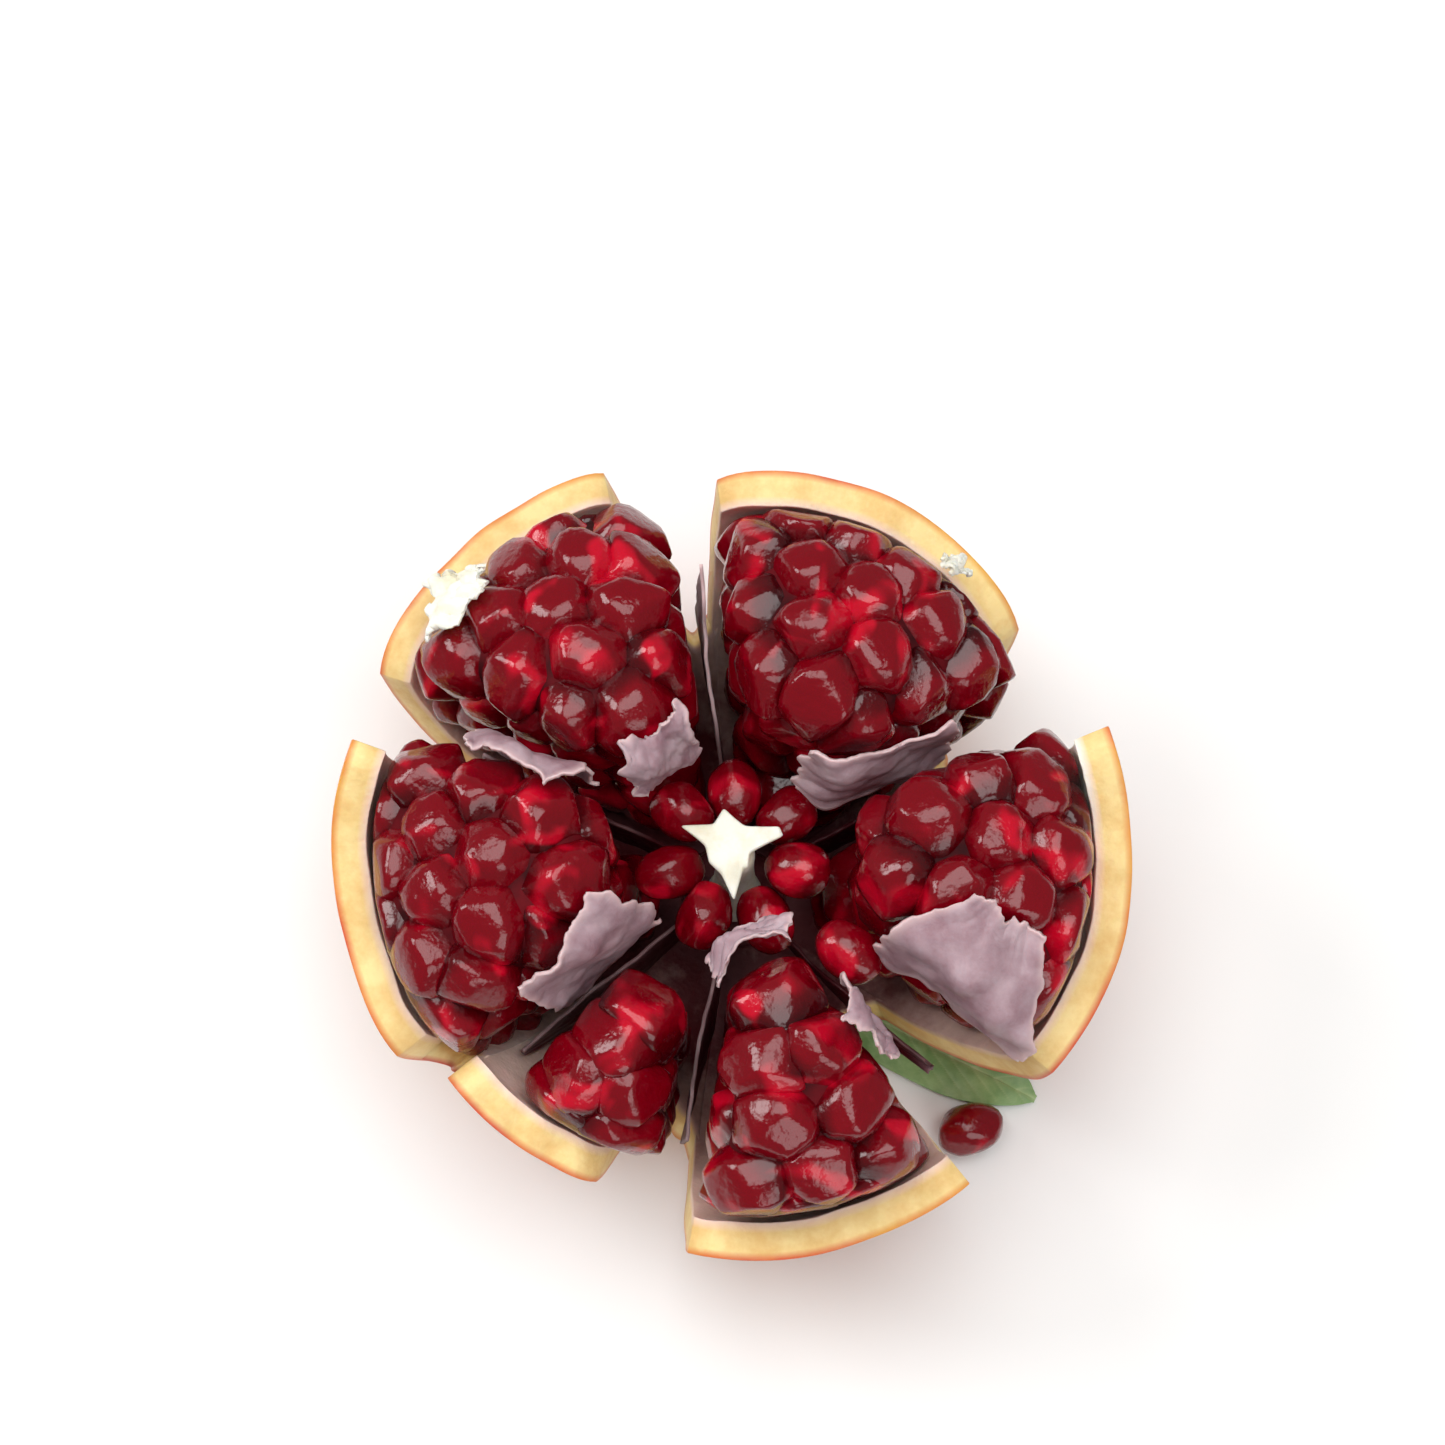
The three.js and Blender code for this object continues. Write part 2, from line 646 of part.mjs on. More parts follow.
const leaf = addPiece(fruit, "leaf", makeLeaf(), MATERIALS.leaf);
placeRound(leaf, clearRadius(PETALS[0], LEAF.headroom) - LEAF.tuck, LEAF.azimuth, 0);
leaf.rotation.z = rad(LEAF.turn);

const loose = addPiece(fruit, "loose_aril", singleAril(), MATERIALS.aril);
placeRound(loose, FRUIT_RADIUS + LOOSE.clear, LOOSE.azimuth, SINGLE_HALF_WIDTH);
loose.rotation.z = rad(LOOSE.turn);

const stemHeight = STEM_LENGTH - SEAT_GAP;
const stub = new THREE.CylinderGeometry(STEM_RADIUS, STEM_RADIUS, stemHeight, STEM_SIDES);
const stem = addPiece(fruit, "stem", stub.rotateX(Math.PI / 2), MATERIALS.stem);
stem.position.z = stemHeight / 2;

export default fruit;
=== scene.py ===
"""An opened pomegranate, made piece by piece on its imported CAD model.

The CAD gives every piece its place and size. This script stands a finer piece on each one: the rind with
its skin, cut face and lining, the arils of each chamber one by one, the torn membranes, the core, the leaf
and the stem. Design sizes are in millimetres and degrees, and the finished meshes are in metres, +Z up.
"""

import logging
import math
from dataclasses import dataclass, field
from enum import Enum

import bmesh
import bpy
import numpy as np
from mathutils import Matrix, Vector, noise


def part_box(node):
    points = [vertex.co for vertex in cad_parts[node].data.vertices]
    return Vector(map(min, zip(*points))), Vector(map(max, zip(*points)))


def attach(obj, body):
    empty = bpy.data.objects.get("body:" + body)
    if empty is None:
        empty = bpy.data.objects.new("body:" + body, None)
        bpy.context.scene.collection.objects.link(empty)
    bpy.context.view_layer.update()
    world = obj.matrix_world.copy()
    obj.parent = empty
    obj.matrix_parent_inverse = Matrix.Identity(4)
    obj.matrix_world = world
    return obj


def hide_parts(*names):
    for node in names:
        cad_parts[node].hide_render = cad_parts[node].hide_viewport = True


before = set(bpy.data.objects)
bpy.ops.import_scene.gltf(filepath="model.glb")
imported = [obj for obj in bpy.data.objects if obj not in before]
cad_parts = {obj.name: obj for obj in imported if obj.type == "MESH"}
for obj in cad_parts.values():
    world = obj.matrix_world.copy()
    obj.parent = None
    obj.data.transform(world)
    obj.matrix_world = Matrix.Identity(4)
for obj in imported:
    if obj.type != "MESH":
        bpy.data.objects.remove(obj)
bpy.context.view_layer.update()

LOG = logging.getLogger("pomegranate")
MM = 0.001

# ---- Sizes shared with the CAD, in millimetres, and degrees for the two angles ----
FRUIT_RADIUS = 46.0  # closed fruit, to the outside of the rind
FRUIT_HALF_HEIGHT = 43.0
FOOT_SINK = 1.5  # how much of the round bottom is flattened away
FRUIT_CENTRE = FRUIT_HALF_HEIGHT - FOOT_SINK
FOOT_ANGLE = 10.0  # the petals start at this polar angle from the bottom, inside the foot
FOOT_EDGE = 24.0  # and the foot's bowl reaches this one
RIND_AT_RIM = 4.6
RIND_AT_FOOT = 6.2
KERF = 1.2  # width taken out of the rind by each scoring cut
HINGE_RADIUS = 11.0  # the petals lean about a ring of this radius
HINGE_HEIGHT = 3.0
SEAT_GAP = 0.35  # clearance between pieces that sit against each other
CHAMBER_TOP = 60.0  # before its petal leans out
CHAMBER_FLOOR = 9.0
CHAMBER_DOME = 40.0  # radius of the dome on top of a chamber
DOME_REACH = 24.0  # how far the dome's middle stands from the axis
SEPTUM = 1.5  # from a chamber to the upright plane that parts it from the next one
CORNER = 5.0  # rounding of a chamber's edges
RIND_CONTACT = 3.5  # how far the outermost arils are squashed against the rind
ARIL_RADIUS = 5.6
SINGLE_HALF_WIDTH = 4.3
SINGLE_HALF_LENGTH = 5.8
CORE_RADIUS = 3.2
CORE_FOOT_RADIUS = 5.1  # where the core spreads on the rind
CORE_TOP = 38.0
WELL_RADIUS = CORE_RADIUS + 2 * SINGLE_HALF_LENGTH + 2 * SEAT_GAP  # room for the core and its ring of arils
WELL_FLOOR_RADIUS = CORE_FOOT_RADIUS + SEAT_GAP
RING_HEIGHT = 33.0  # of the arils around the core
RING_FOOT = RING_HEIGHT - SINGLE_HALF_LENGTH
STEM_RADIUS = 2.8
STEM_LENGTH = 3.4

# ---- Sizes of the finer pieces alone, in millimetres ----
ARIL_SPACING = 8.7  # the CAD spaces its plainer arils 9.4 apart
LINING_GAP = 0.9  # from the CAD's inner face of the rind to the arils
CHAMBER_SLACK = 0.1  # how far a pressed aril may stand out of its chamber

# ---- How the arils are spread and cut ----
SPREADING_ROUNDS = 70
SETTLING_ROUNDS = 3
RAY_HALVINGS = 22
NEIGHBOURLY = 1.15  # arils push apart up to this many spacings
FLAT_ENOUGH = 9.0  # facets that meet at less than this many degrees become one

# A colour Mix node's two colour inputs and its colour output, by number.
MIX_A = 6
MIX_B = 7
MIX_RESULT = 2


class Slot(Enum):
    """Names for the materials that the fruit's pieces share."""

    RIND = "rind"
    ARIL = "aril"
    MEMBRANE = "membrane"
    PITH = "pith"
    LEAF = "leaf"
    STEM = "stem"


# ---- Numbers and colours ----
def held(value: float) -> float:
    """The value, held between 0 and 1."""
    return min(1.0, max(0.0, value))


def linear(hex_colour: str) -> tuple[float, float, float, float]:
    """Turns an sRGB hex colour into the linear colour that the shader works in.

    Args:
        hex_colour: The colour as "#rrggbb".

    Returns:
        Red, green, blue and an alpha of 1.
    """
    parts = [int(hex_colour[k : k + 2], 16) / 255 for k in (1, 3, 5)]
    return (*(c / 12.92 if c <= 0.04045 else ((c + 0.055) / 1.055) ** 2.4 for c in parts), 1.0)


def per_mm(size: float) -> float:
    """The texture scale at which a pattern repeats about every size millimetres."""
    return 1.0 / (size * MM)


def ripple(point: Vector, size: float, seed: float) -> float:
    """A smooth repeatable wave from -1 to 1, with bumps about size millimetres across.

    Args:
        point: Where to read it, in millimetres.
        size: The bumps' size in millimetres.
        seed: Moves the pattern, so that pieces differ.

    Returns:
        The wave's height there.
    """
    return noise.noise(Vector(point) / size + Vector((seed * 7.31, seed * 3.17, seed * 1.93)))


class Stream:
    """The same repeatable stream of numbers from 0 to 1 that the CAD scatters its arils with."""

    def __init__(self, seed: int) -> None:
        """Starts the stream at a seed."""
        self.state = seed

    def next(self) -> float:
        """The next number."""
        self.state = (self.state * 16807) % 2147483647
        return self.state / 2147483647


# ---- Materials ----
def add_node(
    tree: bpy.types.NodeTree,
    kind: str,
    settings: dict | None = None,
    links: dict | None = None,
) -> bpy.types.Node:
    """Adds one node with its settings and its links.

    Args:
        tree: The material's node tree.
        kind: The node's type name.
        settings: Values by property or input name. "stops" gives a colour ramp's (place, colour) pairs.
        links: The output socket that feeds each input, by the input's name or number.

    Returns:
        The new node.
    """
    node = tree.nodes.new(kind)
    for key, value in (settings or {}).items():
        if key == "stops":
            stops = node.color_ramp.elements
            while len(stops) < len(value):
                stops.new(1.0)
            for stop, (place, colour) in zip(stops, value):
                stop.position = place
                stop.color = linear(colour)
        elif isinstance(key, str) and hasattr(node, key):
            setattr(node, key, value)
        else:
            node.inputs[key].default_value = value
    for key, socket in (links or {}).items():
        tree.links.new(socket, node.inputs[key])
    return node


def new_material(name: str) -> tuple[bpy.types.Material, bpy.types.NodeTree]:
    """Makes an empty node material.

    Args:
        name: The material's name.

    Returns:
        The material and its node tree, which has only the output node.
    """
    material = bpy.data.materials.new(name)
    material.use_nodes = True
    tree = material.node_tree
    tree.nodes.clear()
    return material, tree


def close_material(tree: bpy.types.NodeTree, shader: bpy.types.Node) -> None:
    """Links a shader to the material's output.

    Args:
        tree: The material's node tree.
        shader: The node whose first output is the finished surface.
    """
    add_node(tree, "ShaderNodeOutputMaterial", links={"Surface": shader.outputs[0]})


@dataclass(frozen=True)
class RindFinish:
    """Pomegranate rind: leathery waxed skin, a clean pale knife cut and a spongy white lining.

    The skin is yellow with an orange-red blush and fine pores. The cut is smooth and pale yellow, and pales
    further to pinkish white where the arils sat. Deep in the bowl the lining is painted dark red as shade.
    Pattern sizes and the heights of that painted shade are in mm.
    """

    skin_yellow: str = "#E3A94E"
    skin_blush: str = "#CF5A3C"
    cut_pale: str = "#F3D896"
    cut_deep: str = "#E4BC76"
    lining: str = "#F5D3C4"
    pith: str = "#F4EDE2"
    # Painted shade: the lining is painted this dark red deep in the bowl, between the two heights given
    # below, with a ragged edge.
    juice: str = "#5A0E16"
    painted_shade_line: tuple[float, float] = (31.0, 15.0)
    painted_shade_ragged: float = 14.0
    blush_patch: float = 26.0
    cut_mottle: float = 7.0
    pore: float = 0.9
    fibre: float = 2.2

    def material(self) -> bpy.types.Material:
        """Builds the material. It reads depth, 0 at the skin to 1 at the lining, and pith for the ribs."""
        material, tree = new_material("pomegranate_rind_waxed_skin_and_knife_cut")
        place = add_node(tree, "ShaderNodeTexCoord").outputs["Object"]
        depth = add_node(tree, "ShaderNodeAttribute", {"attribute_name": "depth"}).outputs["Fac"]
        blush = add_node(
            tree, "ShaderNodeTexNoise",
            {"Scale": per_mm(self.blush_patch), "Detail": 4.0, "Roughness": 0.6}, {"Vector": place},
        )
        skin = add_node(
            tree, "ShaderNodeValToRGB",
            {"stops": [(0.34, self.skin_yellow), (0.62, self.skin_blush)]}, {"Fac": blush.outputs["Fac"]},
        )
        mottle = add_node(
            tree, "ShaderNodeTexNoise",
            {"Scale": per_mm(self.cut_mottle), "Detail": 5.0, "Roughness": 0.65}, {"Vector": place},
        )
        cut = add_node(
            tree, "ShaderNodeValToRGB",
            {"stops": [(0.35, self.cut_deep), (0.6, self.cut_pale)]}, {"Fac": mottle.outputs["Fac"]},
        )
        # The skin is a thin layer, and the lining starts nearly three quarters of the way in.
        to_cut = add_node(
            tree, "ShaderNodeMapRange", {"From Min": 0.04, "From Max": 0.22}, {"Value": depth}
        )
        to_lining = add_node(
            tree, "ShaderNodeMapRange", {"From Min": 0.72, "From Max": 1.0}, {"Value": depth}
        )
        outer = add_node(
            tree, "ShaderNodeMix", {"data_type": "RGBA"},
            {"Factor": to_cut.outputs[0], MIX_A: skin.outputs[0], MIX_B: cut.outputs[0]},
        )
        colour = add_node(
            tree, "ShaderNodeMix", {"data_type": "RGBA", MIX_B: linear(self.lining)},
            {"Factor": to_lining.outputs[0], MIX_A: outer.outputs[MIX_RESULT]},
        )
        ribs = add_node(tree, "ShaderNodeAttribute", {"attribute_name": "pith"}).outputs["Fac"]
        whiter = add_node(
            tree, "ShaderNodeMath", {"operation": "MULTIPLY"}, {0: ribs, 1: to_lining.outputs[0]}
        )
        colour = add_node(
            tree, "ShaderNodeMix", {"data_type": "RGBA", MIX_B: linear(self.pith)},
            {"Factor": whiter.outputs[0], MIX_A: colour.outputs[MIX_RESULT]},
        )
        # Painted shade: deep in the bowl the lining is painted dark red, below a ragged line.
        height = add_node(tree, "ShaderNodeSeparateXYZ", links={0: place}).outputs["Z"]
        ragged = add_node(
            tree, "ShaderNodeMath", {"operation": "MULTIPLY_ADD", 1: self.painted_shade_ragged * MM},
            {0: mottle.outputs["Fac"], 2: height},
        )
        below_shade_line = add_node(
            tree, "ShaderNodeMapRange",
            {"From Min": self.painted_shade_line[0] * MM, "From Max": self.painted_shade_line[1] * MM},
            {"Value": ragged.outputs[0]},
        )
        painted_shade_mask = add_node(
            tree, "ShaderNodeMath", {"operation": "MULTIPLY"},
            {0: below_shade_line.outputs[0], 1: to_lining.outputs[0]},
        )
        colour = add_node(
            tree, "ShaderNodeMix", {"data_type": "RGBA", MIX_B: linear(self.juice)},
            {"Factor": painted_shade_mask.outputs[0], MIX_A: colour.outputs[MIX_RESULT]},
        )
        pores = add_node(
            tree, "ShaderNodeTexVoronoi", {"Scale": per_mm(self.pore)}, {"Vector": place}
        )
        fibre = add_node(
            tree, "ShaderNodeTexNoise",
            {"Scale": per_mm(self.fibre), "Detail": 6.0, "Roughness": 0.6}, {"Vector": place},
        )
        relief = add_node(
            tree, "ShaderNodeMath", {"operation": "MULTIPLY_ADD", 1: 0.25},
            {0: pores.outputs["Distance"], 2: fibre.outputs["Fac"]},
        )
        bump = add_node(
            tree, "ShaderNodeBump", {"Strength": 0.55, "Distance": 0.35 * MM}, {"Height": relief.outputs[0]}
        )
        rough = add_node(
            tree, "ShaderNodeMapRange",
            {"From Min": 0.0, "From Max": 0.3, "To Min": 0.34, "To Max": 0.55}, {"Value": depth},
        )
        shader = add_node(
            tree, "ShaderNodeBsdfPrincipled",
            {
                "Subsurface Weight": 0.25, "Subsurface Radius": (1.0, 0.5, 0.25),
                "Subsurface Scale": 1.6 * MM, "IOR": 1.42,
            },
            {
                "Base Color": colour.outputs[MIX_RESULT], "Roughness": rough.outputs[0],
                "Normal": bump.outputs["Normal"],
            },
        )
        close_material(tree, shader)
        return material


@dataclass(frozen=True)
class ArilFinish:
    """A ripe aril: a thin wet skin, tight and glossy, over clear dark red juice around a pale seed.

    The eye sees near-black red in the seams, a crimson body, and brighter red where light comes back
    through the juice. All three are painted into the colour: painted shade in the seams, painted light on
    the outer face and a painted glow in soft patches. The flat outer faces mirror the light above. Pattern
    sizes are in mm.
    """

    # The first colour is painted shade in the seams, the third is painted light on the outer faces and the
    # fourth is a painted glow.
    painted_seam_shade: str = "#2C0004"
    body: str = "#540008"
    crown: str = "#74000F"
    painted_glow: str = "#C80A28"
    cloud: float = 5.0
    patch: float = 6.5
    dimple: float = 1.5
    dimple_depth: float = 0.26

    def material(self) -> bpy.types.Material:
        """Builds the material. It reads each aril's painted light, 0 in the seams, which are painted in
        shade, to 1 on the face, and each aril's tone.
        """
        material, tree = new_material("pomegranate_aril_wet_ruby_juice")
        place = add_node(tree, "ShaderNodeTexCoord").outputs["Object"]
        crown = add_node(tree, "ShaderNodeAttribute", {"attribute_name": "crown"}).outputs["Fac"]
        tone = add_node(tree, "ShaderNodeAttribute", {"attribute_name": "tone"}).outputs["Fac"]
        cloud = add_node(
            tree, "ShaderNodeTexNoise",
            {"Scale": per_mm(self.cloud), "Detail": 3.0, "Roughness": 0.55}, {"Vector": place},
        )
        clouded = add_node(
            tree, "ShaderNodeMath", {"operation": "MULTIPLY_ADD", 1: 0.5},
            {0: cloud.outputs["Fac"], 2: crown},
        )
        toned = add_node(
            tree, "ShaderNodeMath", {"operation": "MULTIPLY_ADD", 1: 0.35},
            {0: tone, 2: clouded.outputs[0]},
        )
        # Painted shade and light: the ramp runs from near-black red in the seams to a brighter red on the
        # outer face.
        body = add_node(
            tree, "ShaderNodeValToRGB",
            {"stops": [(0.25, self.painted_seam_shade), (0.75, self.body), (1.0, self.crown)]},
            {"Fac": toned.outputs[0]},
        )
        # Painted glow: soft bright patches painted into the colour, standing for light that has passed
        # through the juice.
        patch = add_node(
            tree, "ShaderNodeTexNoise",
            {"Scale": per_mm(self.patch), "Detail": 1.0, "Roughness": 0.4, "Distortion": 0.6},
            {"Vector": place},
        )
        painted_glow_mask = add_node(
            tree, "ShaderNodeMapRange",
            {"From Min": 0.55, "From Max": 0.72, "To Max": 0.8, "interpolation_type": "SMOOTHSTEP"},
            {"Value": patch.outputs["Fac"]},
        )
        colour = add_node(
            tree, "ShaderNodeMix", {"data_type": "RGBA", MIX_B: linear(self.painted_glow)},
            {"Factor": painted_glow_mask.outputs[0], MIX_A: body.outputs[0]},
        )
        dimples = add_node(
            tree, "ShaderNodeTexNoise",
            {"Scale": per_mm(self.dimple), "Detail": 2.0, "Roughness": 0.5}, {"Vector": place},
        )
        bump = add_node(
            tree, "ShaderNodeBump", {"Strength": 0.8, "Distance": self.dimple_depth * MM},
            {"Height": dimples.outputs["Fac"]},
        )
        shader = add_node(
            tree, "ShaderNodeBsdfPrincipled",
            {
                "Roughness": 0.16, "IOR": 1.4, "Coat Weight": 0.3, "Coat Roughness": 0.04,
                "Subsurface Weight": 0.15, "Subsurface Radius": (1.0, 0.08, 0.05),
                "Subsurface Scale": 2.0 * MM,
            },
            {"Base Color": colour.outputs[MIX_RESULT], "Normal": bump.outputs["Normal"]},
        )
        close_material(tree, shader)
        return material


@dataclass(frozen=True)
class PaintedSeamShadeFinish:
    """Painted shade in the seams between arils: a dull, dark and saturated red on the lump behind them."""

    dark: str = "#2C0004"
    red: str = "#5C000C"
    cloud: float = 5.0

    def material(self) -> bpy.types.Material:
        """Builds the material."""
        material, tree = new_material("pomegranate_painted_shade_in_the_seams")
        place = add_node(tree, "ShaderNodeTexCoord").outputs["Object"]
        cloud = add_node(
            tree, "ShaderNodeTexNoise", {"Scale": per_mm(self.cloud), "Detail": 3.0}, {"Vector": place}
        )
        colour = add_node(
            tree, "ShaderNodeValToRGB",
            {"stops": [(0.35, self.dark), (0.65, self.red)]}, {"Fac": cloud.outputs["Fac"]},
        )
        shader = add_node(
            tree, "ShaderNodeBsdfPrincipled", {"Roughness": 0.7, "Specular IOR Level": 0.15},
            {"Base Color": colour.outputs[0]},
        )
        close_material(tree, shader)
        return material


@dataclass(frozen=True)
class MembraneFinish:
    """Carpellary membrane: a torn, slightly waxy film, dull lilac white where it is thin over red arils.

    The eye sees a cloudy film with fine creases that pales and turns pink along its torn edges. Low in
    the bowl it is painted dark red as shade.
    """

    film: str = "#927079"
    cloud: str = "#B59CA3"
    edge: str = "#D0B3B4"
    # Painted shade: low in the bowl the film is painted this dark red, between the two heights below.
    juice: str = "#4A0E16"
    painted_shade_line: tuple[float, float] = (34.0, 22.0)
    clouding: float = 6.0
    crease: float = 3.2

    def material(self) -> bpy.types.Material:
        """Builds the material, which reads the edge attribute: 1 along the torn edge."""
        material, tree = new_material("pomegranate_membrane_torn_film")
        place = add_node(tree, "ShaderNodeTexCoord").outputs["Object"]
        edge = add_node(tree, "ShaderNodeAttribute", {"attribute_name": "edge"}).outputs["Fac"]
        cloud = add_node(
            tree, "ShaderNodeTexNoise",
            {"Scale": per_mm(self.clouding), "Detail": 5.0, "Roughness": 0.6}, {"Vector": place},
        )
        film = add_node(
            tree, "ShaderNodeValToRGB",
            {"stops": [(0.35, self.film), (0.65, self.cloud)]}, {"Fac": cloud.outputs["Fac"]},
        )
        colour = add_node(
            tree, "ShaderNodeMix", {"data_type": "RGBA", MIX_B: linear(self.edge)},
            {"Factor": edge, MIX_A: film.outputs[0]},
        )
        # Painted shade: the film darkens to dark red low in the bowl.
        height = add_node(tree, "ShaderNodeSeparateXYZ", links={0: place}).outputs["Z"]
        deep = add_node(
            tree, "ShaderNodeMapRange",
            {"From Min": self.painted_shade_line[0] * MM, "From Max": self.painted_shade_line[1] * MM},
            {"Value": height},
        )
        colour = add_node(
            tree, "ShaderNodeMix", {"data_type": "RGBA", MIX_B: linear(self.juice)},
            {"Factor": deep.outputs[0], MIX_A: colour.outputs[MIX_RESULT]},
        )
        creases = add_node(
            tree, "ShaderNodeTexNoise",
            {"Scale": per_mm(self.crease), "Detail": 4.0, "Roughness": 0.6, "Distortion": 1.2},
            {"Vector": place},
        )
        bump = add_node(
            tree, "ShaderNodeBump", {"Strength": 0.5, "Distance": 0.3 * MM},
            {"Height": creases.outputs["Fac"]},
        )
        shader = add_node(
            tree, "ShaderNodeBsdfPrincipled",
            {
                "Roughness": 0.42, "IOR": 1.4, "Subsurface Weight": 0.3,
                "Subsurface Radius": (1.0, 0.45, 0.4), "Subsurface Scale": 1.2 * MM,
            },
            {"Base Color": colour.outputs[MIX_RESULT], "Normal": bump.outputs["Normal"]},
        )
        close_material(tree, shader)
        return material


@dataclass(frozen=True)
class PithFinish:
    """Fresh pith: cream-white, spongy and matt, torn rather than cut."""

    cream: str = "#F5F2E4"
    shade: str = "#E2DABF"
    clouding: float = 5.0
    sponge: float = 1.8

    def material(self) -> bpy.types.Material:
        """Builds the material."""
        material, tree = new_material("pomegranate_pith_torn_sponge")
        place = add_node(tree, "ShaderNodeTexCoord").outputs["Object"]
        cloud = add_node(
            tree, "ShaderNodeTexNoise",
            {"Scale": per_mm(self.clouding), "Detail": 5.0, "Roughness": 0.6}, {"Vector": place},
        )
        colour = add_node(
            tree, "ShaderNodeValToRGB",
            {"stops": [(0.3, self.shade), (0.55, self.cream)]}, {"Fac": cloud.outputs["Fac"]},
        )
        sponge = add_node(
            tree, "ShaderNodeTexNoise",
            {"Scale": per_mm(self.sponge), "Detail": 5.0, "Roughness": 0.65}, {"Vector": place},
        )
        bump = add_node(
            tree, "ShaderNodeBump", {"Strength": 0.5, "Distance": 0.3 * MM},
            {"Height": sponge.outputs["Fac"]},
        )
        shader = add_node(
            tree, "ShaderNodeBsdfPrincipled",
            {
                "Roughness": 0.6, "IOR": 1.4, "Subsurface Weight": 0.3,
                "Subsurface Radius": (1.0, 0.7, 0.45), "Subsurface Scale": 1.4 * MM,
            },
            {"Base Color": colour.outputs[0], "Normal": bump.outputs["Normal"]},
        )
        close_material(tree, shader)
        return material


@dataclass(frozen=True)
class LeafFinish:
    """Fresh pomegranate leaf: smooth, slightly waxy mid green with a paler midrib and side veins."""

    blade: str = "#6C9355"
    light: str = "#8FB072"
    vein: str = "#B4C894"
    mottle: float = 4.0
    grain: float = 0.9

    def material(self) -> bpy.types.Material:
        """Builds the material, which reads the vein attribute: 1 on the midrib and the side veins."""
        material, tree = new_material("pomegranate_leaf_fresh_waxy")
        place = add_node(tree, "ShaderNodeTexCoord").outputs["Object"]
        vein = add_node(tree, "ShaderNodeAttribute", {"attribute_name": "vein"}).outputs["Fac"]
        cloud = add_node(
            tree, "ShaderNodeTexNoise",
            {"Scale": per_mm(self.mottle), "Detail": 4.0, "Roughness": 0.6}, {"Vector": place},
        )
        blade = add_node(
            tree, "ShaderNodeValToRGB",
            {"stops": [(0.35, self.blade), (0.65, self.light)]}, {"Fac": cloud.outputs["Fac"]},
        )
        colour = add_node(
            tree, "ShaderNodeMix", {"data_type": "RGBA", MIX_B: linear(self.vein)},
            {"Factor": vein, MIX_A: blade.outputs[0]},
        )
        grain = add_node(
            tree, "ShaderNodeTexNoise", {"Scale": per_mm(self.grain), "Detail": 3.0}, {"Vector": place}
        )
        bump = add_node(
            tree, "ShaderNodeBump", {"Strength": 0.3, "Distance": 0.12 * MM},
            {"Height": grain.outputs["Fac"]},
        )
        shader = add_node(
            tree, "ShaderNodeBsdfPrincipled",
            {"Roughness": 0.42, "IOR": 1.45, "Coat Weight": 0.2, "Coat Roughness": 0.3},
            {"Base Color": colour.outputs[MIX_RESULT], "Normal": bump.outputs["Normal"]},
        )
        close_material(tree, shader)
        return material


@dataclass(frozen=True)
class StemFinish:
    """The dry stub of the fruit's stem: weathered brown wood with short lengthwise grain."""

    light: str = "#8C7449"
    dark: str = "#4E3E26"
    grain: float = 0.8

    def material(self) -> bpy.types.Material:
        """Builds the material."""
        material, tree = new_material("pomegranate_stem_dry_wood")
        place = add_node(tree, "ShaderNodeTexCoord").outputs["Object"]
        drawn = add_node(tree, "ShaderNodeMapping", {"Scale": (1.0, 1.0, 0.2)}, {"Vector": place})
        grain = add_node(
            tree, "ShaderNodeTexNoise",
            {"Scale": per_mm(self.grain), "Detail": 5.0, "Roughness": 0.7}, {"Vector": drawn.outputs[0]},
        )
        colour = add_node(
            tree, "ShaderNodeValToRGB",
            {"stops": [(0.35, self.dark), (0.65, self.light)]}, {"Fac": grain.outputs["Fac"]},
        )
        bump = add_node(
            tree, "ShaderNodeBump", {"Strength": 0.6, "Distance": 0.3 * MM},
            {"Height": grain.outputs["Fac"]},
        )
        shader = add_node(
            tree, "ShaderNodeBsdfPrincipled", {"Roughness": 0.8},
            {"Base Color": colour.outputs[0], "Normal": bump.outputs["Normal"]},
        )
        close_material(tree, shader)
        return material


@dataclass(frozen=True)
class FloorFinish:
    """A plain pale studio floor, painted and lightly rolled."""

    paint: str = "#F2F2F1"
    roll: float = 4.0

    def material(self) -> bpy.types.Material:
        """Builds the material."""
        material, tree = new_material("studio_floor_pale_paint")
        place = add_node(tree, "ShaderNodeTexCoord").outputs["Object"]
        roll = add_node(
            tree, "ShaderNodeTexNoise", {"Scale": per_mm(self.roll), "Detail": 3.0}, {"Vector": place}
        )
        bump = add_node(
            tree, "ShaderNodeBump", {"Strength": 0.05, "Distance": 0.2 * MM},
            {"Height": roll.outputs["Fac"]},
        )
        shader = add_node(
            tree, "ShaderNodeBsdfPrincipled", {"Base Color": linear(self.paint), "Roughness": 0.7},
            {"Normal": bump.outputs["Normal"]},
        )
        close_material(tree, shader)
        return material


# ---- Pieces ----
def pour(part: bmesh.types.BMesh, whole: bmesh.types.BMesh) -> None:
    """Adds one bmesh to another and frees it.

    Args:
        part: The mesh to add. It is freed.
        whole: The mesh that takes it. It has the same attribute layers.
    """
    carrier = bpy.data.meshes.new("carrier")
    part.to_mesh(carrier)
    part.free()
    whole.from_mesh(carrier)
    bpy.data.meshes.remove(carrier)


def thicken(mesh: bmesh.types.BMesh, thickness: float) -> None:
    """Gives an open sheet a thickness, so that it becomes a closed body.

    Args:
        mesh: The sheet. Its faces are changed in place.
        thickness: How thick it becomes, in millimetres.
    """
    mesh.normal_update()
    grown = bmesh.ops.extrude_face_region(mesh, geom=mesh.faces[:])["geom"]
    raised = [g for g in grown if isinstance(g, bmesh.types.BMVert)]
    shifts = [vert.normal * thickness for vert in raised]
    for vert, shift in zip(raised, shifts):
        vert.co += shift
    bmesh.ops.recalc_face_normals(mesh, faces=mesh.faces[:])
    if mesh.calc_volume(signed=True) < 0:
        bmesh.ops.reverse_faces(mesh, faces=mesh.faces[:])


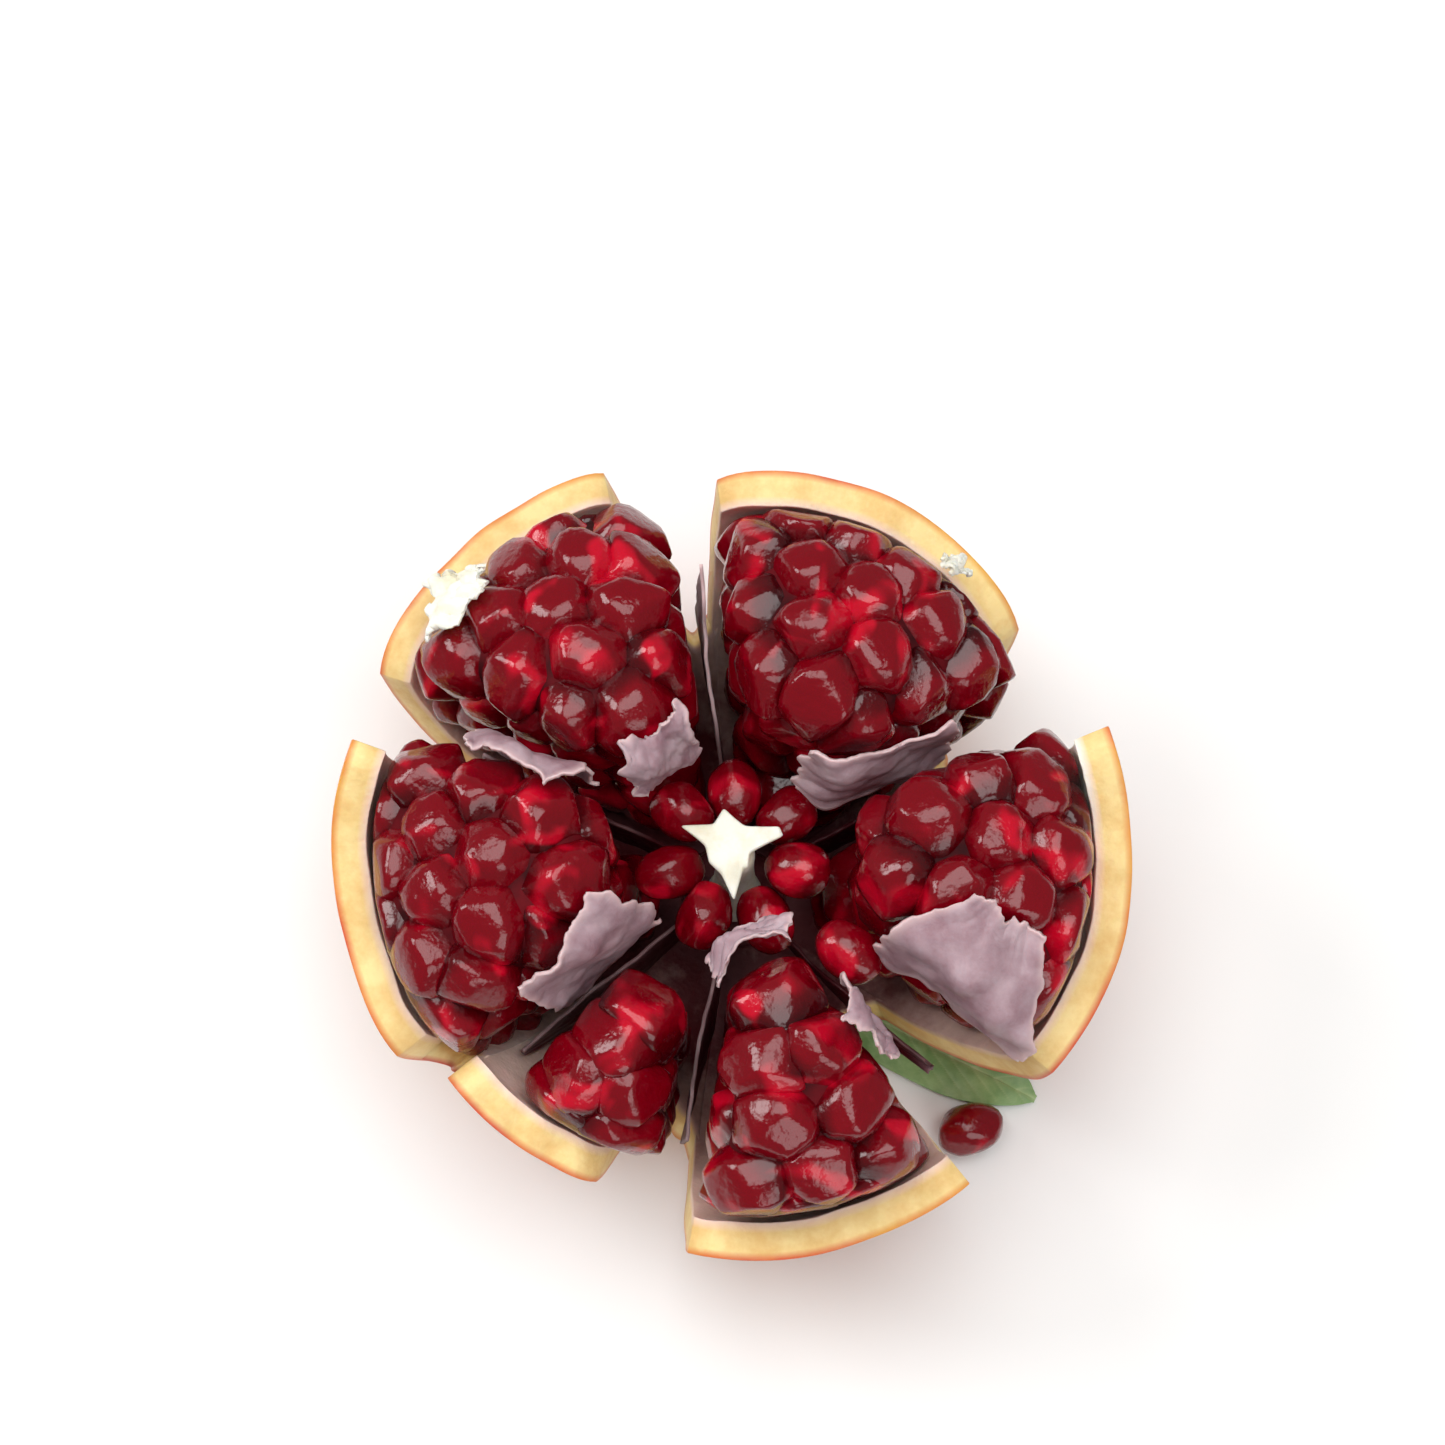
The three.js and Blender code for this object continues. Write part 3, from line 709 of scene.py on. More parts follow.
def add_piece(
    mesh: bmesh.types.BMesh,
    name: str,
    material: bpy.types.Material,
    replaces: list[str],
    levels: int = 0,
) -> bpy.types.Object:
    """Turns a bmesh in millimetres into a finished piece on the fruit.

    Args:
        mesh: The shape in millimetres, in the world. It is freed.
        name: The piece's name.
        material: Its finish.
        replaces: The CAD nodes that it stands for.
        levels: Subdivision levels, or 0 for none.

    Returns:
        The new object, riding on the fruit's one body.
    """
    bmesh.ops.scale(mesh, vec=(MM, MM, MM), verts=mesh.verts[:])
    data = bpy.data.meshes.new(name)
    mesh.to_mesh(data)
    mesh.free()
    data.shade_smooth()
    data.materials.append(material)
    piece = bpy.data.objects.new(name, data)
    bpy.context.scene.collection.objects.link(piece)
    if levels:
        smooth = piece.modifiers.new("rounding", "SUBSURF")
        smooth.levels = levels
        smooth.render_levels = levels
    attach(piece, "root")
    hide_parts(*replaces)
    LOG.info("%s: %d faces, stands for %s", name, len(data.polygons), ", ".join(replaces))
    return piece


# ---- The petals and their chambers ----
@dataclass(frozen=True)
class Petal:
    """One strip of rind that leans outwards and carries a chamber of arils (degrees and millimetres)."""

    name: str
    azimuth: float
    width: float
    lean: float
    rim: tuple[float, float, float]
    chamber: tuple[float, float]
    seed: int
    arils: int
    drop: float = 0.0

    def matrix(self) -> Matrix:
        """Carries the petal's own frame, where the fruit is closed and the petal faces +X, to its place."""
        hinge = Vector((HINGE_RADIUS, 0, HINGE_HEIGHT))
        turn = Matrix.Rotation(math.radians(self.azimuth), 4, "Z")
        lean = Matrix.Rotation(math.radians(self.lean), 4, "Y")
        return turn @ Matrix.Translation(hinge) @ lean @ Matrix.Translation(-hinge)

    def rim_angle(self, share: float) -> float:
        """The polar angle of the knife cut, from the bottom.

        Args:
            share: How far across the petal, from 0 at its clockwise side to 1.

        Returns:
            The angle in degrees.
        """
        start, middle, end = self.rim
        s = 2 * share - 1
        return middle + (end - start) / 2 * s + ((start + end) / 2 - middle) * s * s


PETALS = [
    Petal("right", -9, 64, 13, (98, 101, 116), (-37, 24), 11, 52),
    Petal("upper_right", 66, 64, 11, (95, 107, 106), (27, 96), 23, 60),
    Petal("upper_left", 130, 58, 20, (107, 104, 99), (99, 155), 35, 58),
    Petal("left", 188, 58, 14, (118, 104, 99), (158, 220), 47, 58),
    Petal("lower_left", 233, 32, 7, (96, 91, 86), (225, 259), 59, 24, drop=9),
    Petal("lower", 284, 52, 16, (100, 99, 104), (262, 305), 71, 42),
]


def carry(matrix: np.ndarray, points: np.ndarray) -> np.ndarray:
    """Moves points by a 4x4 matrix.

    Args:
        matrix: The matrix.
        points: One point to a row.

    Returns:
        The moved points.
    """
    return points @ matrix[:3, :3].T + matrix[:3, 3]


class Chamber:
    """The space that one petal's arils fill, measured in the petal's own frame, in millimetres."""

    def __init__(self, petal: Petal) -> None:
        """Finds the chamber's heart and how deep its arils lie.

        Args:
            petal: The petal that carries the chamber.
        """
        self.petal = petal
        self.matrix = np.array(petal.matrix())
        self.inverse = np.linalg.inv(self.matrix)
        swing = math.radians(sum(petal.chamber) / 2 - petal.azimuth)
        reach, height = np.meshgrid(
            np.arange(14, FRUIT_RADIUS - RIND_AT_RIM, 1.0), np.arange(CHAMBER_FLOOR, CHAMBER_TOP, 2.0)
        )
        tried = np.stack(
            [reach.ravel() * math.cos(swing), reach.ravel() * math.sin(swing), height.ravel()], axis=1
        )
        self.heart = tried[np.argmin(self.outside(tried))]
        self.depth = min(ARIL_RADIUS, -0.8 * float(self.outside(self.heart[None])[0]))

    def walls(self, points: np.ndarray) -> np.ndarray:
        """How far points are outside each wall of the chamber.

        Args:
            points: One point to a row.

        Returns:
            One row for each wall: the two upright planes, the well, the top, the floor and the rind.
        """
        world = carry(self.matrix, points)
        start, end = np.radians(self.petal.chamber)
        well = np.maximum(WELL_FLOOR_RADIUS, WELL_RADIUS - np.maximum(0, RING_FOOT - world[:, 2]))
        top = CHAMBER_TOP - self.petal.drop - CHAMBER_DOME
        rise = (points[:, 2] - FRUIT_CENTRE) * FRUIT_RADIUS / FRUIT_HALF_HEIGHT
        x, y, z = points.T
        return np.stack([
            world[:, 0] * math.sin(start) - world[:, 1] * math.cos(start) + SEPTUM,
            -world[:, 0] * math.sin(end) + world[:, 1] * math.cos(end) + SEPTUM,
            well - np.hypot(world[:, 0], world[:, 1]),
            np.sqrt((x - DOME_REACH) ** 2 + y**2 + (z - top) ** 2) - CHAMBER_DOME,
            CHAMBER_FLOOR - z,
            np.sqrt(x**2 + y**2 + rise**2) - (FRUIT_RADIUS - RIND_AT_RIM + RIND_CONTACT),
        ])

    def outside(self, points: np.ndarray) -> np.ndarray:
        """How far points are outside the chamber, with its edges rounded.

        Args:
            points: One point to a row.

        Returns:
            The distances, below 0 inside.
        """
        walls = self.walls(points)
        furthest = walls.max(axis=0)
        blend = CORNER / 3
        return furthest + blend * np.log(np.exp((walls - furthest) / blend).sum(axis=0))

    def outward(self, points: np.ndarray) -> np.ndarray:
        """The direction straight out of the chamber at each point.

        Args:
            points: One point to a row.

        Returns:
            Unit directions, one to a row.
        """
        steps = np.eye(3) * 0.05
        slope = np.stack([self.outside(points + s) - self.outside(points - s) for s in steps], axis=1)
        return slope / np.linalg.norm(slope, axis=1, keepdims=True)

    def along(self, directions: np.ndarray, stand: np.ndarray | float) -> np.ndarray:
        """Walks from the heart along rays to a distance from the chamber's surface.

        Args:
            directions: Unit directions, one to a row.
            stand: How far outside the surface to stop, for each ray or for all.

        Returns:
            The points reached, in the petal's own frame.
        """
        near = np.zeros(len(directions))
        far = np.full(len(directions), 2 * FRUIT_RADIUS)
        for _ in range(RAY_HALVINGS):
            reach = (near + far) / 2
            inside = self.outside(self.heart + directions * reach[:, None]) < stand
            near, far = np.where(inside, reach, near), np.where(inside, far, reach)
        return self.heart + directions * near[:, None]

    def middles(self) -> np.ndarray:
        """The middles of the arils that line the chamber, pushed apart until they lie evenly."""
        stream = Stream(self.petal.seed)
        rays = np.array([[stream.next() - 0.5 for _ in range(3)] for _ in range(self.petal.arils)])
        rays /= np.linalg.norm(rays, axis=1, keepdims=True)
        middles = self.along(rays, -self.depth)
        neighbourly = ARIL_SPACING * NEIGHBOURLY
        for _ in range(SPREADING_ROUNDS):
            apart = middles[:, None] - middles[None]
            gap = np.linalg.norm(apart, axis=2)
            strength = np.where(gap < neighbourly, 0.35 * (neighbourly - gap) / (gap + 0.1), 0.0)
            np.fill_diagonal(strength, 0.0)
            middles = middles + (apart * strength[:, :, None]).sum(axis=1)
            for _ in range(SETTLING_ROUNDS):
                middles -= self.outward(middles) * (self.outside(middles) + self.depth)[:, None]
        return middles


def rind_thickness(polar: float) -> float:
    """The rind's thickness at a polar angle in radians: it thins from the foot to the rim."""
    foot = math.radians(FOOT_ANGLE)
    up = held((polar - foot) / (math.pi / 2 - foot))
    return RIND_AT_FOOT + (RIND_AT_RIM - RIND_AT_FOOT) * up


def skin_point(azimuth: float, polar: float, depth: float) -> Vector:
    """A point of the closed fruit's skin, moved inwards.

    Args:
        azimuth: Radians about the fruit's axis.
        polar: Radians from the bottom.
        depth: How far inside the skin, in millimetres.

    Returns:
        The point in millimetres.
    """
    radius, half = FRUIT_RADIUS - depth, FRUIT_HALF_HEIGHT - depth
    return Vector((
        radius * math.sin(polar) * math.cos(azimuth),
        radius * math.sin(polar) * math.sin(azimuth),
        FRUIT_CENTRE - half * math.cos(polar),
    ))


def inside_rind(points: np.ndarray, gap: float) -> np.ndarray:
    """Pulls points that lie in a petal's rind back to its lining.

    Args:
        points: One point to a row, in the petal's own frame.
        gap: How far inside the lining they end.

    Returns:
        The points, moved where they have to be.
    """
    rise = (points[:, 2] - FRUIT_CENTRE) * FRUIT_RADIUS / FRUIT_HALF_HEIGHT
    round_out = np.hypot(points[:, 0], points[:, 1])
    polar = np.arctan2(round_out, -rise)
    foot = math.radians(FOOT_ANGLE)
    up = np.clip((polar - foot) / (math.pi / 2 - foot), 0, 1)
    limit = FRUIT_RADIUS - (RIND_AT_FOOT + (RIND_AT_RIM - RIND_AT_FOOT) * up) - gap
    share = np.minimum(1.0, limit / np.maximum(1e-6, np.hypot(round_out, rise)))
    middle = np.array([0.0, 0.0, FRUIT_CENTRE])
    return middle + (points - middle) * share[:, None]


@dataclass
class Rind:
    """The rind: a foot bowl with six petals, grown as one piece and cut with a knife.

    Lengths are in mm and angles in degrees. The lining, the waves and the pith's reach are added to the
    CAD's wall.
    """

    columns: int = 40
    rows: int = 48
    lining: float = 0.4
    skin_wave: float = 0.6
    cut_wave: float = 1.3
    edge_rounding: float = 0.55
    side_wave: float = 0.03
    corner_drop: float = 4.0
    corner_sharpness: int = 9
    pith_corner: tuple[float, float] = (0.96, 0.93)
    pith_spread: tuple[float, float] = (0.3, 0.26)
    pith_reach: float = 0.2
    floor_cut: float = 0.01
    web_overlap: float = 0.97
    web_extra: float = 0.6
    web_tear: float = 3.0
    # The web on each petal's clockwise side: the polar angle of its top, and how far its middle sags. All
    # but the one beside the lower left petal stay below the gaps that fingers reach through. The CAD has
    # no webs.
    webs: dict[str, tuple[float, float]] = field(default_factory=lambda: {
        "right": (40, 6), "upper_right": (58, 6), "upper_left": (60, 4), "left": (54, 6),
        "lower_left": (84, 6), "lower": (56, 6),
    })

    def pith(self, petal: Petal, across: float, up: float) -> float:
        """How much ribbed white pith is left on the lining: it swells at one corner of the right petal.

        Args:
            petal: The petal.
            across: How far across it, from 0 at its clockwise side to 1.
            up: How far up it, from 0 at the foot to 1.

        Returns:
            The share from 0 to 1.
        """
        if petal.name != "right":
            return 0.0
        aside = (across - self.pith_corner[0]) / self.pith_spread[0]
        above = (up - self.pith_corner[1]) / self.pith_spread[1]
        share = max(0.0, 1 - math.hypot(aside, above))
        return min(1.0, 1.8 * share)

    def web(self, one: Petal, other: Petal) -> bmesh.types.BMesh:
        """Makes the rind that still joins two neighbouring petals low down, torn and sagging at its top.

        Args:
            one: The clockwise petal.
            other: The counter-clockwise petal.

        Returns:
            The web in millimetres, in its place.
        """
        mesh = bmesh.new()
        bmesh.ops.create_grid(mesh, x_segments=24, y_segments=30, size=0.5)
        depth = mesh.verts.layers.float.new("depth")
        mesh.verts.layers.float.new("pith")
        inner = bmesh.ops.extrude_face_region(mesh, geom=mesh.faces[:])["geom"]
        for vert in inner:
            if isinstance(vert, bmesh.types.BMVert):
                vert[depth] = 1.0
        top_angle, sag = self.webs[other.name]
        for vert in mesh.verts:
            across, up = vert.co.x + 0.5, vert.co.y + 0.5
            tear = self.web_tear * ripple(Vector((5 * across, 0, 0)), 1.0, one.seed)
            top = top_angle - sag * (1 - (2 * across - 1) ** 2) + tear
            polar = math.radians(FOOT_ANGLE + (top - FOOT_ANGLE) * up)
            thick = (rind_thickness(polar) + self.web_extra) * vert[depth]
            places = []
            for petal, side in ((one, 1), (other, -1)):
                half = math.radians(petal.width / 2) - KERF / 2 / FRUIT_RADIUS
                places.append(petal.matrix() @ skin_point(side * half * self.web_overlap, polar, thick))
            vert.co = places[0].lerp(places[1], across)
        bmesh.ops.recalc_face_normals(mesh, faces=mesh.faces[:])
        return mesh

    def petal_strip(self, petal: Petal) -> bmesh.types.BMesh:
        """Makes one petal's wall as a closed slab.

        Args:
            petal: The petal.

        Returns:
            The wall in millimetres, in its place, with depth 0 at the skin and 1 at the lining.
        """
        mesh = bmesh.new()
        bmesh.ops.create_grid(mesh, x_segments=self.columns, y_segments=self.rows, size=0.5)
        layers = [mesh.verts.layers.float.new(n) for n in ("depth", "pith", "azimuth", "polar")]
        depth, pith, swing, angle = layers
        half = math.radians(petal.width / 2) - KERF / 2 / FRUIT_RADIUS
        for vert in mesh.verts:
            across, up = vert.co.x + 0.5, vert.co.y + 0.5
            sway = ripple(Vector((9 * up, across, 0)), 1.6, petal.seed)
            edge = (2 * across - 1) * (1 + self.side_wave * sway * up)
            unsteady = ripple(Vector((8 * across, 0, 0)), 1.4, petal.seed)
            rim = petal.rim_angle(across) + self.cut_wave * unsteady
            rim -= self.corner_drop * abs(2 * across - 1) ** self.corner_sharpness
            vert[swing] = half * edge
            vert[angle] = math.radians(FOOT_ANGLE + (rim - FOOT_ANGLE) * up)
            vert[pith] = self.pith(petal, across, up)
        inner = bmesh.ops.extrude_face_region(mesh, geom=mesh.faces[:])["geom"]
        for vert in mesh.verts:
            vert[depth] = 0.0
        for vert in inner:
            if isinstance(vert, bmesh.types.BMVert):
                vert[depth] = 1.0
        for vert in mesh.verts:
            point = skin_point(vert[swing], vert[angle], 0)
            wave = self.skin_wave * ripple(point, 17, petal.seed)
            if vert[depth] > 0.5:
                uneven = 1 + 0.7 * ripple(point, 6, petal.seed + 5)
                thick = rind_thickness(vert[angle]) + self.lining * uneven
                ribs = 1 + 0.22 * math.sin(math.degrees(vert[swing]) * 2.2) + 0.3 * ripple(point, 2.5, 3)
                thick += self.pith_reach * vert[pith] * ribs
                point = skin_point(vert[swing], vert[angle], thick)
            vert.co = point + Vector((point.x, point.y, 0)).normalized() * wave
        bmesh.ops.recalc_face_normals(mesh, faces=mesh.faces[:])
        sharp = [e for e in mesh.edges if e.calc_face_angle(0) > math.radians(40)]
        bmesh.ops.bevel(
            mesh, geom=sharp, offset=self.edge_rounding, offset_type="OFFSET", segments=2, profile=0.5,
            affect="EDGES", clamp_overlap=True, material=-1,
        )
        bmesh.ops.transform(mesh, matrix=petal.matrix(), verts=mesh.verts[:])
        for layer in ("azimuth", "polar"):
            mesh.verts.layers.float.remove(mesh.verts.layers.float[layer])
        return mesh

    def foot(self) -> bmesh.types.BMesh:
        """Makes the bowl under the fruit with its flat foot and the socket of the stem.

        Returns:
            The bowl in millimetres.
        """
        mesh = bmesh.new()
        depth = mesh.verts.layers.float.new("depth")
        mesh.verts.layers.float.new("pith")
        edge = math.radians(FOOT_EDGE)
        flat = math.acos(FRUIT_CENTRE / FRUIT_HALF_HEIGHT)
        socket = STEM_RADIUS + SEAT_GAP
        outline = [(0, STEM_LENGTH, 0.2), (socket, STEM_LENGTH, 0.2), (socket, 0, 0)]
        for k in range(9):
            p = skin_point(0, flat + (edge - flat) * k / 8, 0)
            outline.append((p.x, p.z, 0))
        outline += [(FRUIT_RADIUS * math.sin(edge), RIND_AT_FOOT - 0.5, 1), (0, RIND_AT_FOOT, 1)]
        verts = [mesh.verts.new((x, 0, z)) for x, z, _ in outline]
        for vert, (_, _, share) in zip(verts, outline):
            vert[depth] = share
        edges = [mesh.edges.new(pair) for pair in zip(verts, verts[1:])]
        bmesh.ops.spin(
            mesh, geom=verts + edges, cent=(0, 0, 0), axis=(0, 0, 1), angle=math.tau, steps=72,
            use_merge=True,
        )
        bmesh.ops.remove_doubles(mesh, verts=mesh.verts[:], dist=0.001)
        bmesh.ops.recalc_face_normals(mesh, faces=mesh.faces[:])
        return mesh

    def build(self, material: bpy.types.Material) -> bpy.types.Object:
        """Builds the whole rind.

        Args:
            material: The rind's finish.

        Returns:
            The finished piece.
        """
        whole = self.foot()
        strips = [self.petal_strip(petal) for petal in PETALS]
        strips += [self.web(one, other) for one, other in zip(PETALS, PETALS[1:] + PETALS[:1])]
        for strip in strips:
            cut = bmesh.ops.bisect_plane(
                strip, geom=strip.verts[:] + strip.edges[:] + strip.faces[:], dist=1e-4,
                plane_co=(0, 0, self.floor_cut), plane_no=(0, 0, 1), clear_inner=True,
            )
            edges = [g for g in cut["geom_cut"] if isinstance(g, bmesh.types.BMEdge)]
            if edges:
                bmesh.ops.holes_fill(strip, edges=edges, sides=0)
            pour(strip, whole)
        return add_piece(whole, "opened_rind", material, ["rind"])


# ---- Arils ----
def aril_layers(mesh: bmesh.types.BMesh) -> None:
    """Gives an empty mesh the layers that every aril has: its painted light, its tone and how firm its
    edges are.
    """
    mesh.verts.layers.float.new("crown")
    mesh.verts.layers.float.new("tone")
    mesh.edges.layers.float.new("crease_edge")


def gem(
    centre: Vector,
    size: Vector,
    turn: Matrix,
    planes: list[tuple[Vector, Vector]],
    merge: float,
    firmness: float,
    chamber: Chamber | None = None,
) -> bmesh.types.BMesh:
    """Makes one aril: a ball cut by planes into a soft-edged stone of a few facets.

    Args:
        centre: The aril's middle.
        size: Its half size along its own axes before it is cut.
        turn: How the ball is turned about its middle.
        planes: A point and an outward direction for each flat.
        merge: Corners closer than this become one, in millimetres.
        firmness: How firm its edges stay when it is rounded, from 0 to 1.
        chamber: The chamber that it is pressed into, or none for an aril that stands free.

    Returns:
        The aril in millimetres, with an empty painted light layer and tone.
    """
    mesh = bmesh.new()
    aril_layers(mesh)
    shape = Matrix.Translation(centre) @ turn @ Matrix.Diagonal((*size, 1))
    bmesh.ops.create_icosphere(mesh, subdivisions=1, radius=1.0, matrix=shape)
    for point, direction in planes:
        cut = bmesh.ops.bisect_plane(
            mesh, geom=mesh.verts[:] + mesh.edges[:] + mesh.faces[:], dist=1e-4,
            plane_co=point, plane_no=direction, clear_outer=True,
        )
        edges = [g for g in cut["geom_cut"] if isinstance(g, bmesh.types.BMEdge)]
        if edges:
            bmesh.ops.holes_fill(mesh, edges=edges, sides=0)
    if chamber:
        places = np.array([vert.co for vert in mesh.verts])
        excess = np.maximum(0.0, chamber.outside(places) - CHAMBER_SLACK)
        places = inside_rind(places - chamber.outward(places) * excess[:, None], LINING_GAP)
        for vert, place in zip(mesh.verts, places):
            vert.co = place
    bmesh.ops.remove_doubles(mesh, verts=mesh.verts[:], dist=merge)
    bmesh.ops.delete(mesh, geom=mesh.edges[:] + mesh.faces[:], context="EDGES_FACES")
    hull = bmesh.ops.convex_hull(mesh, input=mesh.verts[:])
    spare = [g for g in hull["geom_interior"] if isinstance(g, bmesh.types.BMVert)]
    bmesh.ops.delete(mesh, geom=spare, context="VERTS")
    bmesh.ops.dissolve_limit(
        mesh, angle_limit=math.radians(FLAT_ENOUGH), verts=mesh.verts[:], edges=mesh.edges[:]
    )
    bmesh.ops.recalc_face_normals(mesh, faces=mesh.faces[:])
    crease = mesh.edges.layers.float["crease_edge"]
    for edge in mesh.edges:
        edge[crease] = firmness
    return mesh


@dataclass
class ArilCluster:
    """The arils of one chamber, each pressed flat by its neighbours and domed where it is free."""

    chamber: Chamber
    ball: float = 8.0
    squeeze: float = 0.95
    face_height: float = 5.2
    face_tilt: float = 0.13
    shoulder: float = 5.45
    shoulder_angle: float = 38.0
    merge: float = 1.1
    firmness: float = 0.4
    bed_depth: float = 3.2
    bed_gap: float = 2.4

    def planes(self, k: int, middles: np.ndarray, normal: Vector, rng: np.random.Generator) -> list:
        """The flats of one aril: its face, one for each neighbour, and a shoulder above each of those.

        Args:
            k: Which aril.
            middles: All the middles of the chamber.
            normal: Straight out of the chamber at this aril.
            rng: The chamber's stream of numbers.

        Returns:
            A point and an outward direction for each flat.
        """
        here = Vector(middles[k])
        tilt = Vector(rng.normal(0, self.face_tilt, 3))
        face = (normal + tilt - normal * tilt.dot(normal)).normalized()
        flats = [(here + face * self.face_height * (1 + 0.05 * rng.normal()), face)]
        for j, other in enumerate(middles):
            apart = Vector(other) - here
            if j == k or apart.length > 2 * self.ball:
                continue
            side = apart.normalized()
            flats.append((here + side * (apart.length / 2 + self.squeeze), side))
            if abs(side.dot(normal)) < 0.6:
                angle = math.radians(self.shoulder_angle + 8 * rng.normal())
                lean = (side * math.cos(angle) + face * math.sin(angle)).normalized()
                flats.append((here + lean * self.shoulder * (1 + 0.04 * rng.normal()), lean))
        return flats

    def shade_bed(self) -> bmesh.types.BMesh:
        """Makes the dark lump behind the arils that closes the seams between them, a body that stands only
        for shade. Its faces take the second finish, which paints that shade.
        """
        mesh = bmesh.new()
        aril_layers(mesh)
        bmesh.ops.create_icosphere(mesh, subdivisions=4, radius=1.0)
        rays = np.array([vert.co.normalized() for vert in mesh.verts])
        places = inside_rind(self.chamber.along(rays, -self.bed_depth), self.bed_gap)
        for vert, place in zip(mesh.verts, places):
            vert.co = place
        for face in mesh.faces:
            face.material_index = 1
        return mesh

    def build(self, material: bpy.types.Material, deep: bpy.types.Material) -> bpy.types.Object:
        """Builds the cluster.

        Args:
            material: The arils' finish.
            deep: The finish of the painted shade in the seams.

        Returns:
            The finished piece.
        """
        petal = self.chamber.petal
        rng = np.random.default_rng(petal.seed)
        middles = self.chamber.middles()
        normals = self.chamber.outward(middles)
        # The dark lump behind the arils is painted shade.
        whole = self.shade_bed()
        for k in range(len(middles)):
            normal = Vector(normals[k])
            here = Vector(middles[k])
            spin = Matrix.Rotation(rng.uniform(0, math.tau), 4, Vector(rng.normal(0, 1, 3)).normalized())
            size = Vector((self.ball,) * 3)
            flats = self.planes(k, middles, normal, rng)
            aril = gem(here, size, spin, flats, self.merge, self.firmness, self.chamber)
            crown = aril.verts.layers.float["crown"]
            tone = aril.verts.layers.float["tone"]
            own = rng.uniform(0, 1)
            # Painted light: each aril is painted dark towards the chamber, where its seams lie in shade,
            # and lighter on its outer face.
            for vert in aril.verts:
                vert[crown] = held((vert.co - here).dot(normal) / self.face_height)
                vert[tone] = own
            pour(aril, whole)
        bmesh.ops.transform(whole, matrix=petal.matrix(), verts=whole.verts[:])
        name = "aril_cluster_" + petal.name
        piece = add_piece(whole, name, material, ["arils_" + petal.name], levels=2)
        piece.data.materials.append(deep)
        return piece


@dataclass
class SingleAril:
    """An aril that stands free of the chambers: a drop with a few soft facets and a narrow tip."""

    node: str
    azimuth: float
    seed: int
    facets: int = 7
    grow: float = 1.0

    def build(self, material: bpy.types.Material) -> bpy.types.Object:
        """Builds the aril where its CAD node lies.

        Args:
            material: The arils' finish.

        Returns:
            The finished piece.
        """
        low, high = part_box(self.node)
        centre = (low + high) / 2 / MM
        rng = np.random.default_rng(self.seed)
        half = (high - low) / 2 / MM
        tip = Matrix.Rotation(math.radians(self.azimuth), 4, "Z")
        rise = math.asin(min(0.5, max(0.0, (half.z - SINGLE_HALF_WIDTH * 0.95) / SINGLE_HALF_LENGTH)))
        turn = tip @ Matrix.Rotation(-rise, 4, "Y")
        # The ball starts larger than the aril, because its flats are cut from it.
        broad = SINGLE_HALF_WIDTH * 1.14
        size = Vector((SINGLE_HALF_LENGTH * 1.1, broad, broad)) * self.grow
        flats = []
        for _ in range(self.facets):
            way = Vector(rng.normal(0, 1, 3)).normalized()
            way.x *= 0.4
            way.normalize()
            flats.append((centre + (turn @ way) * SINGLE_HALF_WIDTH * 0.86 * self.grow, turn @ way))
        aril = gem(centre, size, turn, flats, merge=1.2, firmness=0.25)
        crown = aril.verts.layers.float["crown"]
        tone = aril.verts.layers.float["tone"]
        own = rng.uniform(0.3, 1)
        # Painted light from above: each single aril is painted lighter on top and darker underneath.
        for vert in aril.verts:
            vert[crown] = held(0.5 + (vert.co.z - centre.z) / (2 * SINGLE_HALF_WIDTH))
            vert[tone] = own
        return add_piece(aril, "single_" + self.node, material, [self.node], levels=2)


# ---- Torn membranes ----
def torn_edge(share: float, along: float, seed: float, bite: float) -> float:
    """Pulls a sheet's edge in and out.

    Args:
        share: The place across the sheet, from -1 to 1.
        along: The place along the edge.
        seed: Makes each edge differ.
        bite: The depth of the tears, as a share of the sheet's half width.

    Returns:
        The new place across the sheet.
    """
    tear = ripple(Vector((along * 2, 0, 0)), 1.0, seed) + 0.5 * ripple(Vector((along * 5, 1, 0)), 1.0, seed)
    fine = 0.14 * ripple(Vector((along * 13, 2, 0)), 1.0, seed)
    return share * (1 - bite * (0.4 + tear + fine) * abs(share) ** 3)


